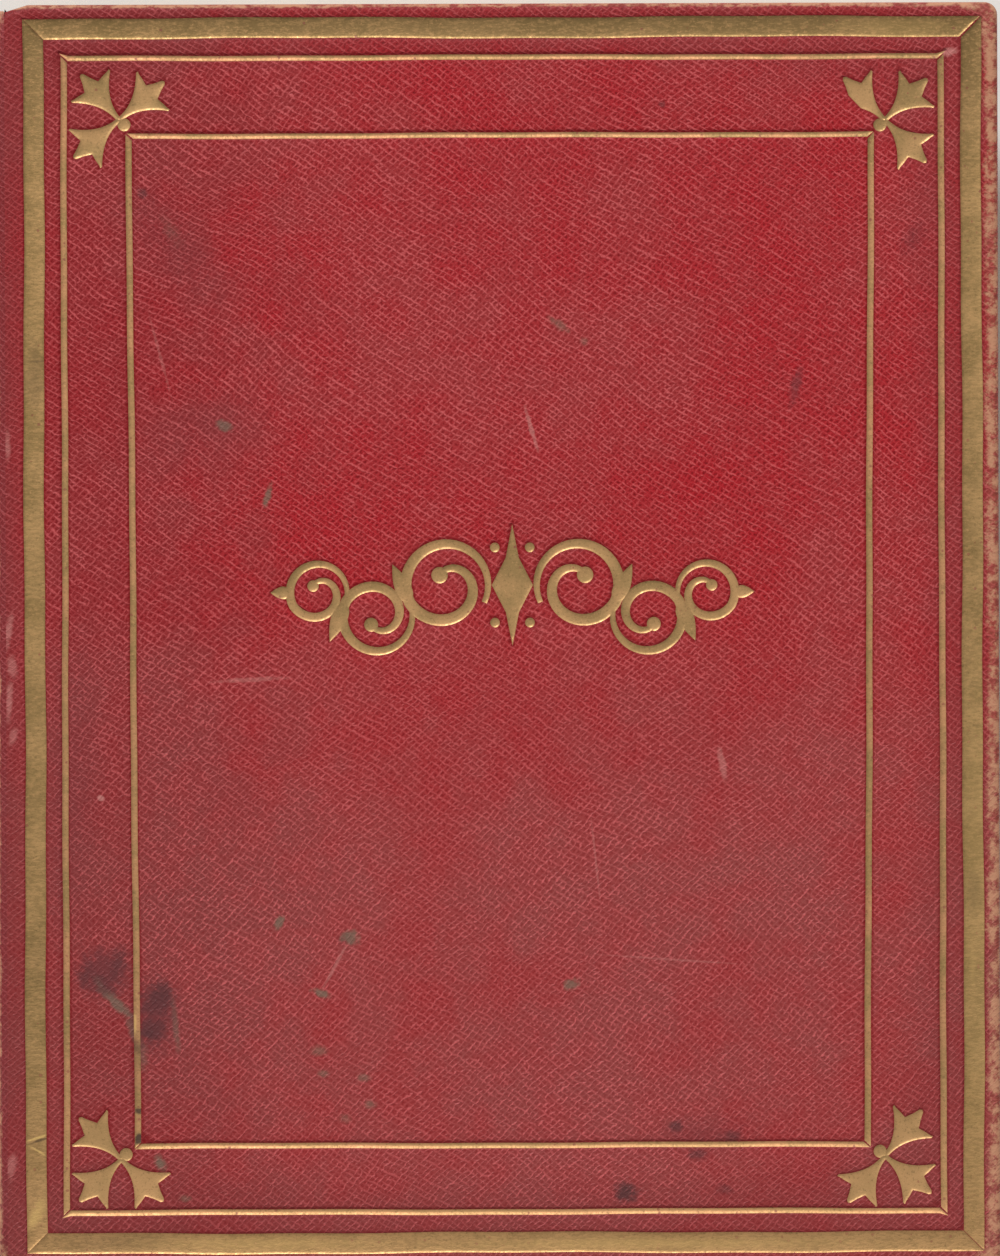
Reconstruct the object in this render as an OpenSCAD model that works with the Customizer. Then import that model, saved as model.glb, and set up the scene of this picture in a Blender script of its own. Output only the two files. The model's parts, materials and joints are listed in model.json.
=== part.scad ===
// Photograph album bound in red leather with gilt tooling.
// The album lies closed on its back cover: +X runs from the spine to the fore-edge, +Y to the head,
// +Z up, and the origin is at the middle of the underside.

/* [Covers] */
// Width of a cover's outer face, from the hinge line to the fore-edge
cover_w = 200; // [150:1:260]
// Height of a cover, from tail to head
cover_h = 253; // [200:1:320]
// Thickness of a millboard
board_t = 3.0; // [2:0.1:5]
// Thickness of the covering leather
leather_t = 0.9; // [0.7:0.05:1.5]
// Thickness of the paper pasted down inside a cover
paste_t = 0.4; // [0.2:0.05:0.8]
// Width of leather turned over the edges onto the inside of a cover
turn_in = 14; // [8:1:25]
// Radius of the two corners at the fore-edge
corner_r = 2.6; // [1.5:0.1:6]
// Length along the head of the slanted cut beside the spine
back_corner_w = 4.5; // [2:0.1:8]
// Depth of that slanted cut
back_corner_d = 1.4; // [0.5:0.1:4]
// Distance from the hinge line to the edge of a board
joint_gap = 1.2; // [0.8:0.1:3]
// How far the boards stand out past the leaves at head, tail and fore-edge
square = 3; // [1:0.25:6]

/* [Tooling on the covers] */
// Depth of the tooling in the leather
tool_depth = 0.35; // [0.2:0.05:0.5]
// Thickness of the gilt layer lying in the tooling
gilt_t = 0.15; // [0.05:0.05:0.15]
// Width of the broad band
band_w = 4.1; // [2:0.1:8]
// Distance of the broad band from the hinge line
band_in_spine = 4.9; // [3:0.1:10]
// Distance of the broad band from the fore-edge
band_in_fore = 3.4; // [2:0.1:10]
// Distance of the broad band from head and tail
band_in_ends = 2.9; // [2:0.1:10]
// Width of the gap between two mitred strips
mitre_gap = 0.16; // [0.05:0.01:0.5]
// Distance between the band and the outer fillet
fillet_gap = 3.4; // [1:0.1:8]
// Width of the two thin fillets
fillet_w = 1.25; // [0.5:0.05:2.5]
// Distance of the inner fillet from the hinge line
inner_in_spine = 25.4; // [23.5:0.1:34]
// Distance of the inner fillet from the fore-edge
inner_in_fore = 24.9; // [23:0.1:34]
// Distance of the inner fillet from the head
inner_in_head = 26.0; // [23:0.1:36]
// Distance of the inner fillet from the tail
inner_in_tail = 23.7; // [22.5:0.1:36]
// How far each side of the inner fillet leans in at the tail
inner_lean = 1.2; // [0:0.1:3]
// Length of one forked leaf of a corner tool, from the joint of the leaves to the middle tip
sprig_len = 11.9; // [6:0.1:12.6]
// Radius of the bead at each corner tool
bead_r = 1.3; // [0.6:0.1:2]
// Half the width of the scroll ornament
scroll_half_w = 48.5; // [30:0.5:60]
// Height of the ornament's middle above the middle of the cover
scroll_up = 10; // [-40:1:60]

/* [Block of leaves] */
// Number of card leaves
leaf_n = 8; // [4:1:8]
// Thickness of the stiff core of a leaf
core_t = 0.6; // [0.4:0.1:1.2]
// Thickness of each window mat
mat_t = 1.1; // [0.8:0.05:1.6]
// Play between neighbouring leaves
leaf_gap = 0.3; // [0.2:0.05:0.8]
// Thickness of a flyleaf
fly_t = 0.4; // [0.2:0.05:0.6]
// Width of the pile of stubs in front of the hinge line
stub_w = 9; // [6:0.5:14]
// Free length of the linen guard that a leaf turns on
guard_free = 9; // [7:0.5:14]
// Width of the linen held between the mats
guard_lap = 10; // [5:0.5:16]
// Play between the nose of a stub and the end of a guard
guard_clear = 0.55; // [0.5:0.05:0.9]
// Radius of the leaves' corners at the fore-edge
leaf_corner_r = 3; // [1:0.5:8]

/* [Window for a photograph] */
// Width of the window
window_w = 98; // [60:1:110]
// Height of the window at its straight sides
window_side_h = 126; // [60:1:150]
// Rise of the window's arched top
arch_rise = 14; // [4:1:24]
// Height of the window's middle above the middle of the leaf
window_up = 4; // [0:1:10]
// Play of the pocket round a mounted photograph
pocket_over = 6; // [3:0.5:12]
// Depth of the pocket in the back of a mat
pocket_t = 0.45; // [0.3:0.05:0.6]
// Height of the slit that a photograph goes in by
slit_h = 1.6; // [1:0.1:3]
// Distance from the foot of the window to the slit
slit_below = 12; // [6:1:20]

/* [Spine] */
// How far the spine bulges out behind the hinge lines
spine_round = 5; // [3.5:0.1:7]
// Thickness of the hollow card tube under the spine leather
lining_t = 0.8; // [0.4:0.1:1.2]
// Hollow between the tube and the mull
hollow_t = 0.5; // [0.3:0.1:1]
// Thickness of the mull glued over the stubs
mull_t = 0.3; // [0.2:0.05:0.6]
// Thickness of a sewing tape
tape_t = 0.4; // [0.2:0.05:0.6]
// Width of a sewing tape
tape_w = 10; // [6:1:16]
// Distance between sewing tapes
tape_pitch = 60; // [40:1:75]
// Thickness of the sewing thread
thread_d = 0.36; // [0.3:0.02:0.36]
// Thickness of the worked bands at head and tail
headband_d = 2.0; // [1.4:0.1:2.1]
// Number of pairs of gilt rules across the spine
rule_pairs = 5; // [3:1:7]
// Width of one gilt rule
rule_w = 0.8; // [0.4:0.1:1.5]

/* [Hidden] */
eps = 1;
arc_steps = 8;
leaf_t = core_t + 2 * mat_t;
leaf_pitch = leaf_t + leaf_gap;
cover_t = leather_t + board_t + paste_t;
fly_z = cover_t + leaf_gap;
leaf_z = fly_z + fly_t + leaf_gap;
block_top = leaf_z + leaf_n * leaf_pitch - leaf_gap;
album_t = block_top + leaf_z;
top_fly_z = block_top + leaf_gap;

// Height of the underside of a leaf, counted from the back cover
function leaf_height(i) = leaf_z + i * leaf_pitch;

hinge_x = spine_round / 2 - cover_w / 2;
fore_x = hinge_x + cover_w;
face_x = (hinge_x + fore_x) / 2;
half_h = cover_h / 2;
board_x = hinge_x + joint_gap;
block_half_h = half_h - square;

stub_x = hinge_x + stub_w;
axis_x = stub_x + guard_clear;
leaf_x = axis_x + guard_free;
leaf_end = fore_x - square;
core_x = leaf_x + guard_lap;
window_x = (leaf_x + leaf_end) / 2;
fly_x = board_x + leaf_gap + fly_t;

spine_r = (album_t * album_t / 4 + spine_round * spine_round) / (2 * spine_round);
spine_cx = hinge_x - spine_round + spine_r;
spine_cz = album_t / 2;
lining_r = spine_r - leather_t;
mull_r = lining_r - lining_t - hollow_t;
thread_play = 0.02;
tape_r = mull_r - mull_t - thread_d - 2 * thread_play;
pile_r = tape_r - tape_t;
pile_half = (block_top - leaf_z) / 2;
stub_slot = 5;
stub_nose = 0.4;

leather_red = [0.62, 0.14, 0.17];
spine_red = [0.55, 0.12, 0.15];
gold = [0.66, 0.54, 0.31];
board_grey = [0.55, 0.50, 0.42];
paper_cream = [0.90, 0.86, 0.74];
card_ivory = [0.93, 0.90, 0.81];
linen_white = [0.86, 0.84, 0.78];
silk_red = [0.60, 0.10, 0.15];

leaf_numbers = [for (i = [1 : leaf_n]) str(i)];

// Points of an arc about a centre, from one angle to another
function arc(c, r, from, to, steps) =
    [for (i = [0 : steps]) let (a = from + (to - from) * i / steps) c + r * [cos(a), sin(a)]];

// Outline of a cover: square at the hinge, slanted beside the spine, round at the fore-edge
function cover_outline(inset, x0) =
    let (h = half_h - inset, f = fore_x - inset, r = corner_r - inset)
    concat(
        [[x0, back_corner_d - h], [board_x + back_corner_w, -h]],
        arc([f - r, r - h], r, -90, 0, arc_steps),
        arc([f - r, h - r], r, 0, 90, arc_steps),
        [[board_x + back_corner_w, h], [x0, h - back_corner_d]]);

// Outline of a leaf, square at one end and round at the fore-edge
function leaf_outline(x0, h) =
    concat(
        [[x0, -h]],
        arc([leaf_end - leaf_corner_r, leaf_corner_r - h], leaf_corner_r, -90, 0, arc_steps),
        arc([leaf_end - leaf_corner_r, h - leaf_corner_r], leaf_corner_r, 0, 90, arc_steps),
        [[x0, h]]);

// Four corners of a tooled frame, drawn in by a width from its outer line
function frame_corners(spine, fore, head, tail, lean, by) =
    let (x0 = hinge_x + spine + by, x1 = fore_x - fore - by,
         y0 = tail + by - half_h, y1 = half_h - head - by)
    [[x0, y1], [x1, y1], [x1 - lean, y0], [x0 + lean, y0]];

function band_corners(by) =
    frame_corners(band_in_spine, band_in_fore, band_in_ends, band_in_ends, 0, by);
function outer_corners(by) = band_corners(band_w + fillet_gap + by);
function inner_corners(by) =
    frame_corners(inner_in_spine, inner_in_fore, inner_in_head, inner_in_tail, inner_lean, by);

// The four corner tools were set by hand: each stands and turns a little differently
tool_out = [[-1.3, 2.8], [2.2, 2.3], [2.8, -1.7], [-2.7, -1.9]];
tool_turn = [-5, -1, 6, 0];
bead_out = 1.4;
bead_steps = 24;

// One forked leaf of a corner tool along +X: hollow sides, two notches, three blunt tips
sprig_root = 0.45;
sprig_side = [0.73, 0.42];
sprig_notch = [0.72, 0.15];
sprig_tip = 0.45;
sprig_steps = 8;
function sprig_edge(t) =
    [sprig_len * sprig_side[0] * t,
     sprig_root + (sprig_len * sprig_side[1] - sprig_root) * pow(t, 2.2)];
function sprig_half() =
    concat(
        [for (i = [0 : sprig_steps]) sprig_edge(i / sprig_steps)],
        [[sprig_len * (sprig_side[0] + 0.03), sprig_len * sprig_side[1] - 0.1],
         [sprig_len * (sprig_side[0] + 0.02), sprig_len * sprig_side[1] - 0.7],
         sprig_len * [sprig_notch[0] + 0.02, sprig_notch[1] + 0.11],
         sprig_len * sprig_notch,
         sprig_len * [sprig_notch[0] + 0.13, sprig_notch[1] - 0.065],
         [sprig_len - 0.3, sprig_tip]]);
function mirrored(points) =
    [for (i = [len(points) - 1 : -1 : 0]) [points[i][0], -points[i][1]]];
function sprig_outline() = concat(sprig_half(), [[sprig_len, 0]], mirrored(sprig_half()));

// A stroke is a line of points with a half width at each, as the outline of one closed shape
function direction(p, i) =
    let (a = p[max(i - 1, 0)], b = p[min(i + 1, len(p) - 1)]) (b - a) / norm(b - a);
function stroke_side(p, w, side) =
    [for (i = [0 : len(p) - 1]) let (d = direction(p, i)) p[i] + side * w[i] * [-d[1], d[0]]];
function reversed(list) = [for (i = [len(list) - 1 : -1 : 0]) list[i]];
function stroke(p, w) = concat(stroke_side(p, w, 1), reversed(stroke_side(p, w, -1)));

// Half of the scroll ornament: three volutes, each turning the other way, smaller towards the end
volute_n = 3;
volute_r = [for (k = [0 : volute_n - 1]) scroll_half_w * (0.170 - 0.026 * k)];
volute_tilt = [0, -24, 22];
volute_steps = 36;
function volute_centre(k) =
    k == 0 ? [scroll_half_w * 0.27, 0]
           : volute_centre(k - 1)
             + (volute_r[k - 1] + volute_r[k]) * [cos(volute_tilt[k]), sin(volute_tilt[k])];
// A volute begins where it touches the one before it and winds in to its eye
volute_turn = 1.42;
volute_eye = 0.30;
volute_start = [205, 180 + volute_tilt[1], 180 + volute_tilt[2]];
volute_way = [-1, 1, -1];
function volute_point(k, t) =
    let (a = volute_start[k] + volute_way[k] * 360 * volute_turn * t,
         r = volute_r[k] * (t < 0.45 ? 1 : 1 - (1 - volute_eye) * (t - 0.45) / 0.55))
    volute_centre(k) + r * [cos(a), sin(a)];
function volute_path(k) = [for (i = [0 : volute_steps]) volute_point(k, i / volute_steps)];
volute_thin = 0.011;
volute_thick = 0.013;
function volute_widths(k) =
    [for (i = [0 : volute_steps])
        scroll_half_w * (volute_thin + volute_thick * sin(180 * i / volute_steps))
        * (1 - 0.12 * k)];

// A drop of a given length along +X, round near its root and pointed at its end
drop_steps = 8;
function drop_half(length, w) =
    [for (i = [0 : drop_steps]) let (t = i / drop_steps) [length * t, w * 2.6 * sqrt(t) * (1 - t)]];
function drop_outline(length, w) =
    let (half = drop_half(length, w))
    concat(half, [for (i = [drop_steps - 1 : -1 : 1]) [half[i][0], -half[i][1]]]);

module cover_plan(inset, x0) {
    polygon(cover_outline(inset, x0));
}

module leaf_plan(x0, h) {
    polygon(leaf_outline(x0, h));
}

// A full frame, for the tooled groove
module frame_ring(outer, inner) {
    difference() {
        polygon(outer);
        polygon(inner);
    }
}

// The four mitred strips of a frame
module frame_strips(outer, inner) {
    for (i = [0 : 3]) {
        j = (i + 1) % 4;
        d = (outer[j] - outer[i]) / norm(outer[j] - outer[i]) * mitre_gap;
        polygon([outer[i] + d, outer[j] - d, inner[j] - d, inner[i] + d]);
    }
}

module bead_plan(r) {
    polygon([for (i = [0 : bead_steps - 1]) let (a = 360 * i / bead_steps) r * [cos(a), sin(a)]]);
}

module corner_tool_plan(i) {
    out = [tool_out[i][0] < 0 ? -1 : 1, tool_out[i][1] < 0 ? -1 : 1];
    translate(inner_corners(0)[i] + tool_out[i]) {
        for (turn = [-90, 0, 90]) {
            rotate(atan2(out[1], out[0]) + turn + tool_turn[i])
                polygon(sprig_outline());
        }
        translate(-out * bead_out / sqrt(2))
            bead_plan(bead_r);
    }
}

module corner_tools_plan() {
    for (i = [0 : 3]) {
        corner_tool_plan(i);
    }
}

module half_scroll_plan() {
    for (k = [0 : volute_n - 1]) {
        polygon(stroke(volute_path(k), volute_widths(k)));
        translate(volute_point(k, 1))
            bead_plan(volute_r[k] * 0.20);
    }
    for (k = [1 : volute_n - 1]) {
        side = k % 2 == 1 ? 90 : -90;
        touch = volute_centre(k) - volute_r[k] * [cos(volute_tilt[k]), sin(volute_tilt[k])];
        translate(touch)
            rotate(volute_tilt[k] + side)
                polygon(drop_outline(scroll_half_w * 0.17, scroll_half_w * 0.034));
    }
    translate(volute_centre(volute_n - 1) + [volute_r[volute_n - 1], 0])
        polygon(drop_outline(scroll_half_w * 0.08, scroll_half_w * 0.026));
}

// Middle of the ornament: a pointed lozenge leaf between two pairs of beads
module scroll_middle_plan() {
    lozenge = scroll_half_w * [0.085, 0.25];
    polygon([[lozenge[0], 0], [lozenge[0] * 0.32, lozenge[1] * 0.45], [0, lozenge[1]],
             [-lozenge[0] * 0.32, lozenge[1] * 0.45], [-lozenge[0], 0],
             [-lozenge[0] * 0.32, -lozenge[1] * 0.45], [0, -lozenge[1]],
             [lozenge[0] * 0.32, -lozenge[1] * 0.45]]);
    for (sx = [-1, 1]) {
        for (sy = [-1, 1]) {
            translate(scroll_half_w * [sx * 0.072, sy * 0.155])
                bead_plan(scroll_half_w * 0.02);
        }
    }
}

module scroll_plan() {
    translate([face_x + 2.5, scroll_up]) {
        scroll_middle_plan();
        half_scroll_plan();
        mirror([1, 0])
            half_scroll_plan();
    }
}

// A cover drawn with its outer face at the bottom; the front cover is the same, turned over
module as_front() {
    translate([0, 0, album_t])
        mirror([0, 0, 1])
            children();
}

module cover_board() {
    translate([0, 0, leather_t])
        linear_extrude(board_t)
            cover_plan(leather_t, board_x);
}

module cover_pastedown() {
    translate([board_x, turn_in - half_h, leather_t + board_t])
        cube([cover_w - joint_gap - turn_in, cover_h - 2 * turn_in, paste_t]);
}

module frame_grooves() {
    translate([0, 0, -eps])
        linear_extrude(tool_depth + eps) {
            frame_ring(band_corners(0), band_corners(band_w));
            frame_ring(outer_corners(0), outer_corners(fillet_w));
            frame_ring(inner_corners(0), inner_corners(fillet_w));
        }
}

// Leather over the outer face, the three free edges and the turned-in rim
module cover_leather() {
    difference() {
        linear_extrude(cover_t)
            cover_plan(0, board_x);
        translate([0, 0, leather_t])
            linear_extrude(board_t)
                cover_plan(leather_t, board_x - eps);
        translate([board_x - eps, turn_in - half_h, leather_t])
            cube([cover_w - joint_gap - turn_in + eps, cover_h - 2 * turn_in, cover_t]);
        frame_grooves();
        children();
    }
}

// A gilt layer lying on the floor of its groove, on the drawn-over front cover
module gilt() {
    color(gold)
        as_front()
            translate([0, 0, tool_depth - gilt_t])
                linear_extrude(gilt_t)
                    children();
}

module back_board() {
    color(board_grey)
        cover_board();
}

module front_board() {
    color(board_grey)
        as_front()
            cover_board();
}

module back_pastedown() {
    color(paper_cream)
        cover_pastedown();
}

module front_pastedown() {
    color(paper_cream)
        as_front()
            cover_pastedown();
}

module back_leather() {
    color(leather_red)
        cover_leather();
}

module front_leather() {
    color(leather_red)
        as_front()
            cover_leather()
                translate([0, 0, -eps])
                    linear_extrude(tool_depth + eps) {
                        corner_tools_plan();
                        scroll_plan();
                    }
}

module front_gilt_band() {
    gilt()
        frame_strips(band_corners(0), band_corners(band_w));
}

module front_outer_fillet() {
    gilt()
        frame_strips(outer_corners(0), outer_corners(fillet_w));
}

module front_inner_fillet() {
    gilt()
        frame_strips(inner_corners(0), inner_corners(fillet_w));
}

module front_corner_tools() {
    gilt()
        corner_tools_plan();
}

module front_centre_ornament() {
    gilt()
        scroll_plan();
}

module flyleaf(z) {
    color(paper_cream)
        translate([0, 0, z])
            linear_extrude(fly_t)
                leaf_plan(fly_x, block_half_h);
}

// A band lying on a circle about the spine's centre line, seen along the album
module spine_ring(r, t, half_z) {
    translate([spine_cx, spine_cz])
        intersection() {
            difference() {
                circle(r = r, $fn = 128);
                circle(r = r - t, $fn = 128);
            }
            translate([-spine_r - eps, -half_z])
                square([spine_r, 2 * half_z]);
        }
}

// Turns a drawing in the XZ plane into a solid along the album, from y0 to y1
module along_album(y0, y1) {
    translate([0, y1, 0])
        rotate([90, 0, 0])
            linear_extrude(y1 - y0)
                children();
}

// The spine leather stops short of the hinge lines, where the joints begin
module spine_leather_plan(r, t) {
    intersection() {
        spine_ring(r, t, album_t);
        translate([hinge_x - 2 * spine_round, -eps])
            square([2 * spine_round - joint_gap, album_t + 2 * eps]);
    }
}

rule_step = cover_h / (rule_pairs + 1);
rule_apart = 1.6;
rule_places = [for (k = [1 : rule_pairs]) for (s = [-1, 1])
    k * rule_step - half_h + s * rule_apart / 2];

module spine_leather() {
    cap_in = 1.8;
    color(spine_red) {
        difference() {
            along_album(-half_h, half_h)
                spine_leather_plan(spine_r, leather_t);
            for (y = rule_places) {
                along_album(y - rule_w / 2, y + rule_w / 2)
                    spine_leather_plan(spine_r + eps, tool_depth + eps);
            }
        }
        for (y = [-half_h, half_h - leather_t]) {
            along_album(y, y + leather_t)
                spine_ring(lining_r, cap_in, pile_half);
        }
    }
}

module spine_gilt_rules() {
    color(gold)
        for (y = rule_places) {
            along_album(y - rule_w / 2, y + rule_w / 2)
                spine_leather_plan(spine_r - tool_depth + gilt_t, gilt_t);
        }
}

module spine_lining() {
    color(board_grey)
        along_album(-block_half_h, block_half_h)
            spine_ring(lining_r, lining_t, pile_half + 1);
}

module spine_mull() {
    color(linen_white)
        along_album(-block_half_h + tape_w, block_half_h - tape_w)
            spine_ring(mull_r, mull_t, pile_half);
}

tape_places = [-tape_pitch, 0, tape_pitch];

module sewing_tapes() {
    color(linen_white)
        for (y = tape_places) {
            along_album(y - tape_w / 2, y + tape_w / 2)
                spine_ring(tape_r, tape_t, pile_half - 0.5);
        }
}

// One stitch over a tape for each stub, and a kettle stitch near each end
module stitch(y0, y1, z, r) {
    reach = r + thread_d / 2 + thread_play;
    x = spine_cx - sqrt(reach * reach - (z - spine_cz) * (z - spine_cz));
    translate([x, y1, z])
        rotate([90, 0, 0])
            cylinder(d = thread_d, h = y1 - y0, $fn = 8);
}

module sewing_thread() {
    over = 1;
    kettle = 4;
    kettle_y = block_half_h - 2 * tape_w;
    color(linen_white)
        for (i = [0 : leaf_n - 1]) {
            z = leaf_height(i) + leaf_t / 2;
            for (y = tape_places) {
                stitch(y - tape_w / 2 - over, y + tape_w / 2 + over, z, tape_r);
            }
            for (y = [-kettle_y, kettle_y - kettle]) {
                stitch(y, y + kettle, z, pile_r);
            }
        }
}

// Front end of one stub, bevelled to a narrow nose so that a guard can fold back over it
module stub_end(z) {
    bevel = (leaf_t - stub_nose) / 2;
    root = stub_x - stub_slot - eps;
    polygon([[root, z], [stub_x - bevel, z], [stub_x, z + bevel],
             [stub_x, z + leaf_t - bevel], [stub_x - bevel, z + leaf_t], [root, z + leaf_t]]);
}

// The pile of card stubs, glued together behind and parted in front
module stub_guards() {
    color(card_ivory)
        along_album(-block_half_h, block_half_h) {
            intersection() {
                translate([spine_cx, spine_cz])
                    circle(r = pile_r, $fn = 128);
                translate([hinge_x - spine_round, leaf_z])
                    square([spine_round + stub_w - stub_slot, block_top - leaf_z]);
            }
            for (i = [0 : leaf_n - 1]) {
                stub_end(leaf_height(i));
            }
        }
}

// A worked band over a round core, following the round of the spine
module headband(y) {
    r = pile_r + headband_d / 2 - 0.4;
    half_angle = asin((pile_half - headband_d / 2) / r);
    color(silk_red)
        translate([spine_cx, y, spine_cz])
            rotate([90, 0, 0])
                rotate([0, 0, 180 - half_angle])
                    rotate_extrude(angle = 2 * half_angle, $fn = 128)
                        translate([r, 0])
                            circle(d = headband_d, $fn = 24);
}

module head_band() {
    headband(block_half_h + headband_d / 2);
}

module tail_band() {
    headband(-block_half_h - headband_d / 2);
}

// Flexible leather over a joint, from the spine leather to the cover's edge
module joint_leather_plan() {
    reach = spine_cx - hinge_x + joint_gap;
    outer_z = spine_cz - sqrt(spine_r * spine_r - reach * reach);
    inner_z = spine_cz - sqrt(lining_r * lining_r - reach * reach);
    polygon([[hinge_x - joint_gap, outer_z], [hinge_x, 0], [board_x, 0], [board_x, leather_t],
             [hinge_x + joint_gap / 3, leather_t], [hinge_x - joint_gap, inner_z]]);
}

module joint_leather() {
    color(spine_red)
        along_album(back_corner_d - half_h, half_h - back_corner_d)
            joint_leather_plan();
}

module back_joint_leather() {
    joint_leather();
}

module front_joint_leather() {
    as_front()
        joint_leather();
}

module leaf_core(i) {
    color(board_grey)
        translate([0, 0, leaf_height(i) + mat_t])
            linear_extrude(core_t)
                leaf_plan(core_x, block_half_h);
}

module leaf_guard(i) {
    color(linen_white)
        translate([axis_x, 1 - block_half_h, leaf_height(i) + mat_t])
            cube([guard_free + guard_lap, 2 * block_half_h - 2, core_t]);
}

// Window with straight sides and an arched top, about the middle of the leaf
window_h = window_side_h + arch_rise;
arch_r = (window_w * window_w / 4 + arch_rise * arch_rise) / (2 * arch_rise);
arch_half_angle = asin(window_w / 2 / arch_r);
function window_outline() =
    let (foot = window_up - window_h / 2, spring = foot + window_side_h)
    concat(
        [[-window_w / 2, foot], [window_w / 2, foot]],
        arc([0, spring + arch_rise - arch_r], arch_r, 90 - arch_half_angle,
            90 + arch_half_angle, 2 * arc_steps));

// A mat drawn with its show side at the top and its pocket underneath
module mat() {
    pocket_w = window_w + 2 * pocket_over;
    slit_y = window_up - window_h / 2 - slit_below;
    pocket_h = window_h + slit_below + 2 * pocket_over;
    difference() {
        linear_extrude(mat_t)
            leaf_plan(leaf_x, block_half_h);
        translate([window_x, 0, -eps])
            linear_extrude(mat_t + 2 * eps)
                polygon(window_outline());
        translate([window_x - pocket_w / 2, slit_y - slit_h, -eps])
            cube([pocket_w, pocket_h, pocket_t + eps]);
        translate([window_x - pocket_w / 2, slit_y - slit_h, -eps])
            cube([pocket_w, slit_h, mat_t + 2 * eps]);
    }
}

module leaf_upper_mat(i) {
    color(card_ivory)
        translate([0, 0, leaf_height(i) + mat_t + core_t])
            mat();
}

module leaf_lower_mat(i) {
    color(card_ivory)
        translate([0, 0, leaf_height(i) + mat_t])
            mirror([0, 0, 1])
                mat();
}

back_board();
back_leather();
back_pastedown();
flyleaf(fly_z);  // back_flyleaf
stub_guards();
sewing_tapes();
sewing_thread();
spine_mull();
spine_lining();
spine_leather();
spine_gilt_rules();
head_band();
tail_band();
front_joint_leather();
back_joint_leather();
front_board();
front_leather();
front_pastedown();
flyleaf(top_fly_z);  // front_flyleaf
front_gilt_band();
front_outer_fillet();
front_inner_fillet();
front_corner_tools();
front_centre_ornament();
for (i = [0 : leaf_n - 1]) {
    leaf_core(i);
    leaf_upper_mat(i);
    leaf_lower_mat(i);
    leaf_guard(i);
}
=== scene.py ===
"""Looks of a photograph album bound in red leather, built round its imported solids.

All sizes are in millimetres in the frame of the solids, and become metres where a mesh is made.
"""
from __future__ import annotations

import json
import logging
import math
from dataclasses import dataclass
from enum import Enum
from functools import cached_property
from typing import Any, Callable, Sequence

import bmesh
import bpy
import numpy as np
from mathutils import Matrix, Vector
from mathutils.geometry import delaunay_2d_cdt

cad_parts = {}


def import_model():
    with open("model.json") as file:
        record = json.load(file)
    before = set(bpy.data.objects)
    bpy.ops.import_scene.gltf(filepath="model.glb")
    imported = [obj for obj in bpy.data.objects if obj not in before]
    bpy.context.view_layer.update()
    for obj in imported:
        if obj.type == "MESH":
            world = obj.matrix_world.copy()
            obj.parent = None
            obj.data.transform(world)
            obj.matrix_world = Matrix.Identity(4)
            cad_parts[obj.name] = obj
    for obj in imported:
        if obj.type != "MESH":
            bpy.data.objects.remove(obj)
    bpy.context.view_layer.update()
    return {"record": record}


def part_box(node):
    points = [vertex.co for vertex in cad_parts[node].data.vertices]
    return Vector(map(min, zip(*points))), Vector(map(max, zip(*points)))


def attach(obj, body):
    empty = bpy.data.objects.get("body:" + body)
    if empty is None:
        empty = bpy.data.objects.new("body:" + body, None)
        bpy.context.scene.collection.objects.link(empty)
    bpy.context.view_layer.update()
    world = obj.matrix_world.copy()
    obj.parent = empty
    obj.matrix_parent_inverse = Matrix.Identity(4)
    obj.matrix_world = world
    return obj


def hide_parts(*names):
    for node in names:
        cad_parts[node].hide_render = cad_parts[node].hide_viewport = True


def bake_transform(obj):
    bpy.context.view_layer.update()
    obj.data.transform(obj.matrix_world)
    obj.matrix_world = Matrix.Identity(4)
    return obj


LOG = logging.getLogger("album")
MM = 0.001  # one millimetre in metres
SMOOTH_UP_TO = 40.0  # degrees between two faces that still shade as one
SHARP_TIP = 60.0  # degrees that an outline turns at a sharp tip
AS_ONE = 0.01  # points closer than this become one
REACH = 2.5  # distances from an impression are cut off here
FAR = 999.0  # a distance that no piece reaches
BESIDE_BOARD = 6.0  # the wear at a cover's spine side starts this far beside its board
CLEAR_OUTSIDE = 50.0  # keeps wear away from the round of the spine
CLEAR_INSIDE = 200.0  # keeps wear away from the inner side of the spine

Point = tuple[float, float]
Outline = list[Point]
Vertex = tuple[float, float, float]
Colour = tuple[float, float, float]
Piece = bpy.types.Object
Material = bpy.types.Material
Tree = bpy.types.NodeTree
Socket = bpy.types.NodeSocket
Test = Callable[[np.ndarray], np.ndarray]
ORIGIN: Vertex = (0.0, 0.0, 0.0)


class Side(Enum):
    """The two covers: the front one's outer face looks up, the back one's looks down."""

    FRONT = "front"
    BACK = "back"


class Body(str, Enum):
    """The moving parts that a piece can ride on."""

    FRONT_COVER = "front_cover"
    BLOCK = "block"
    BACK_COVER = "back_cover"


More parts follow.
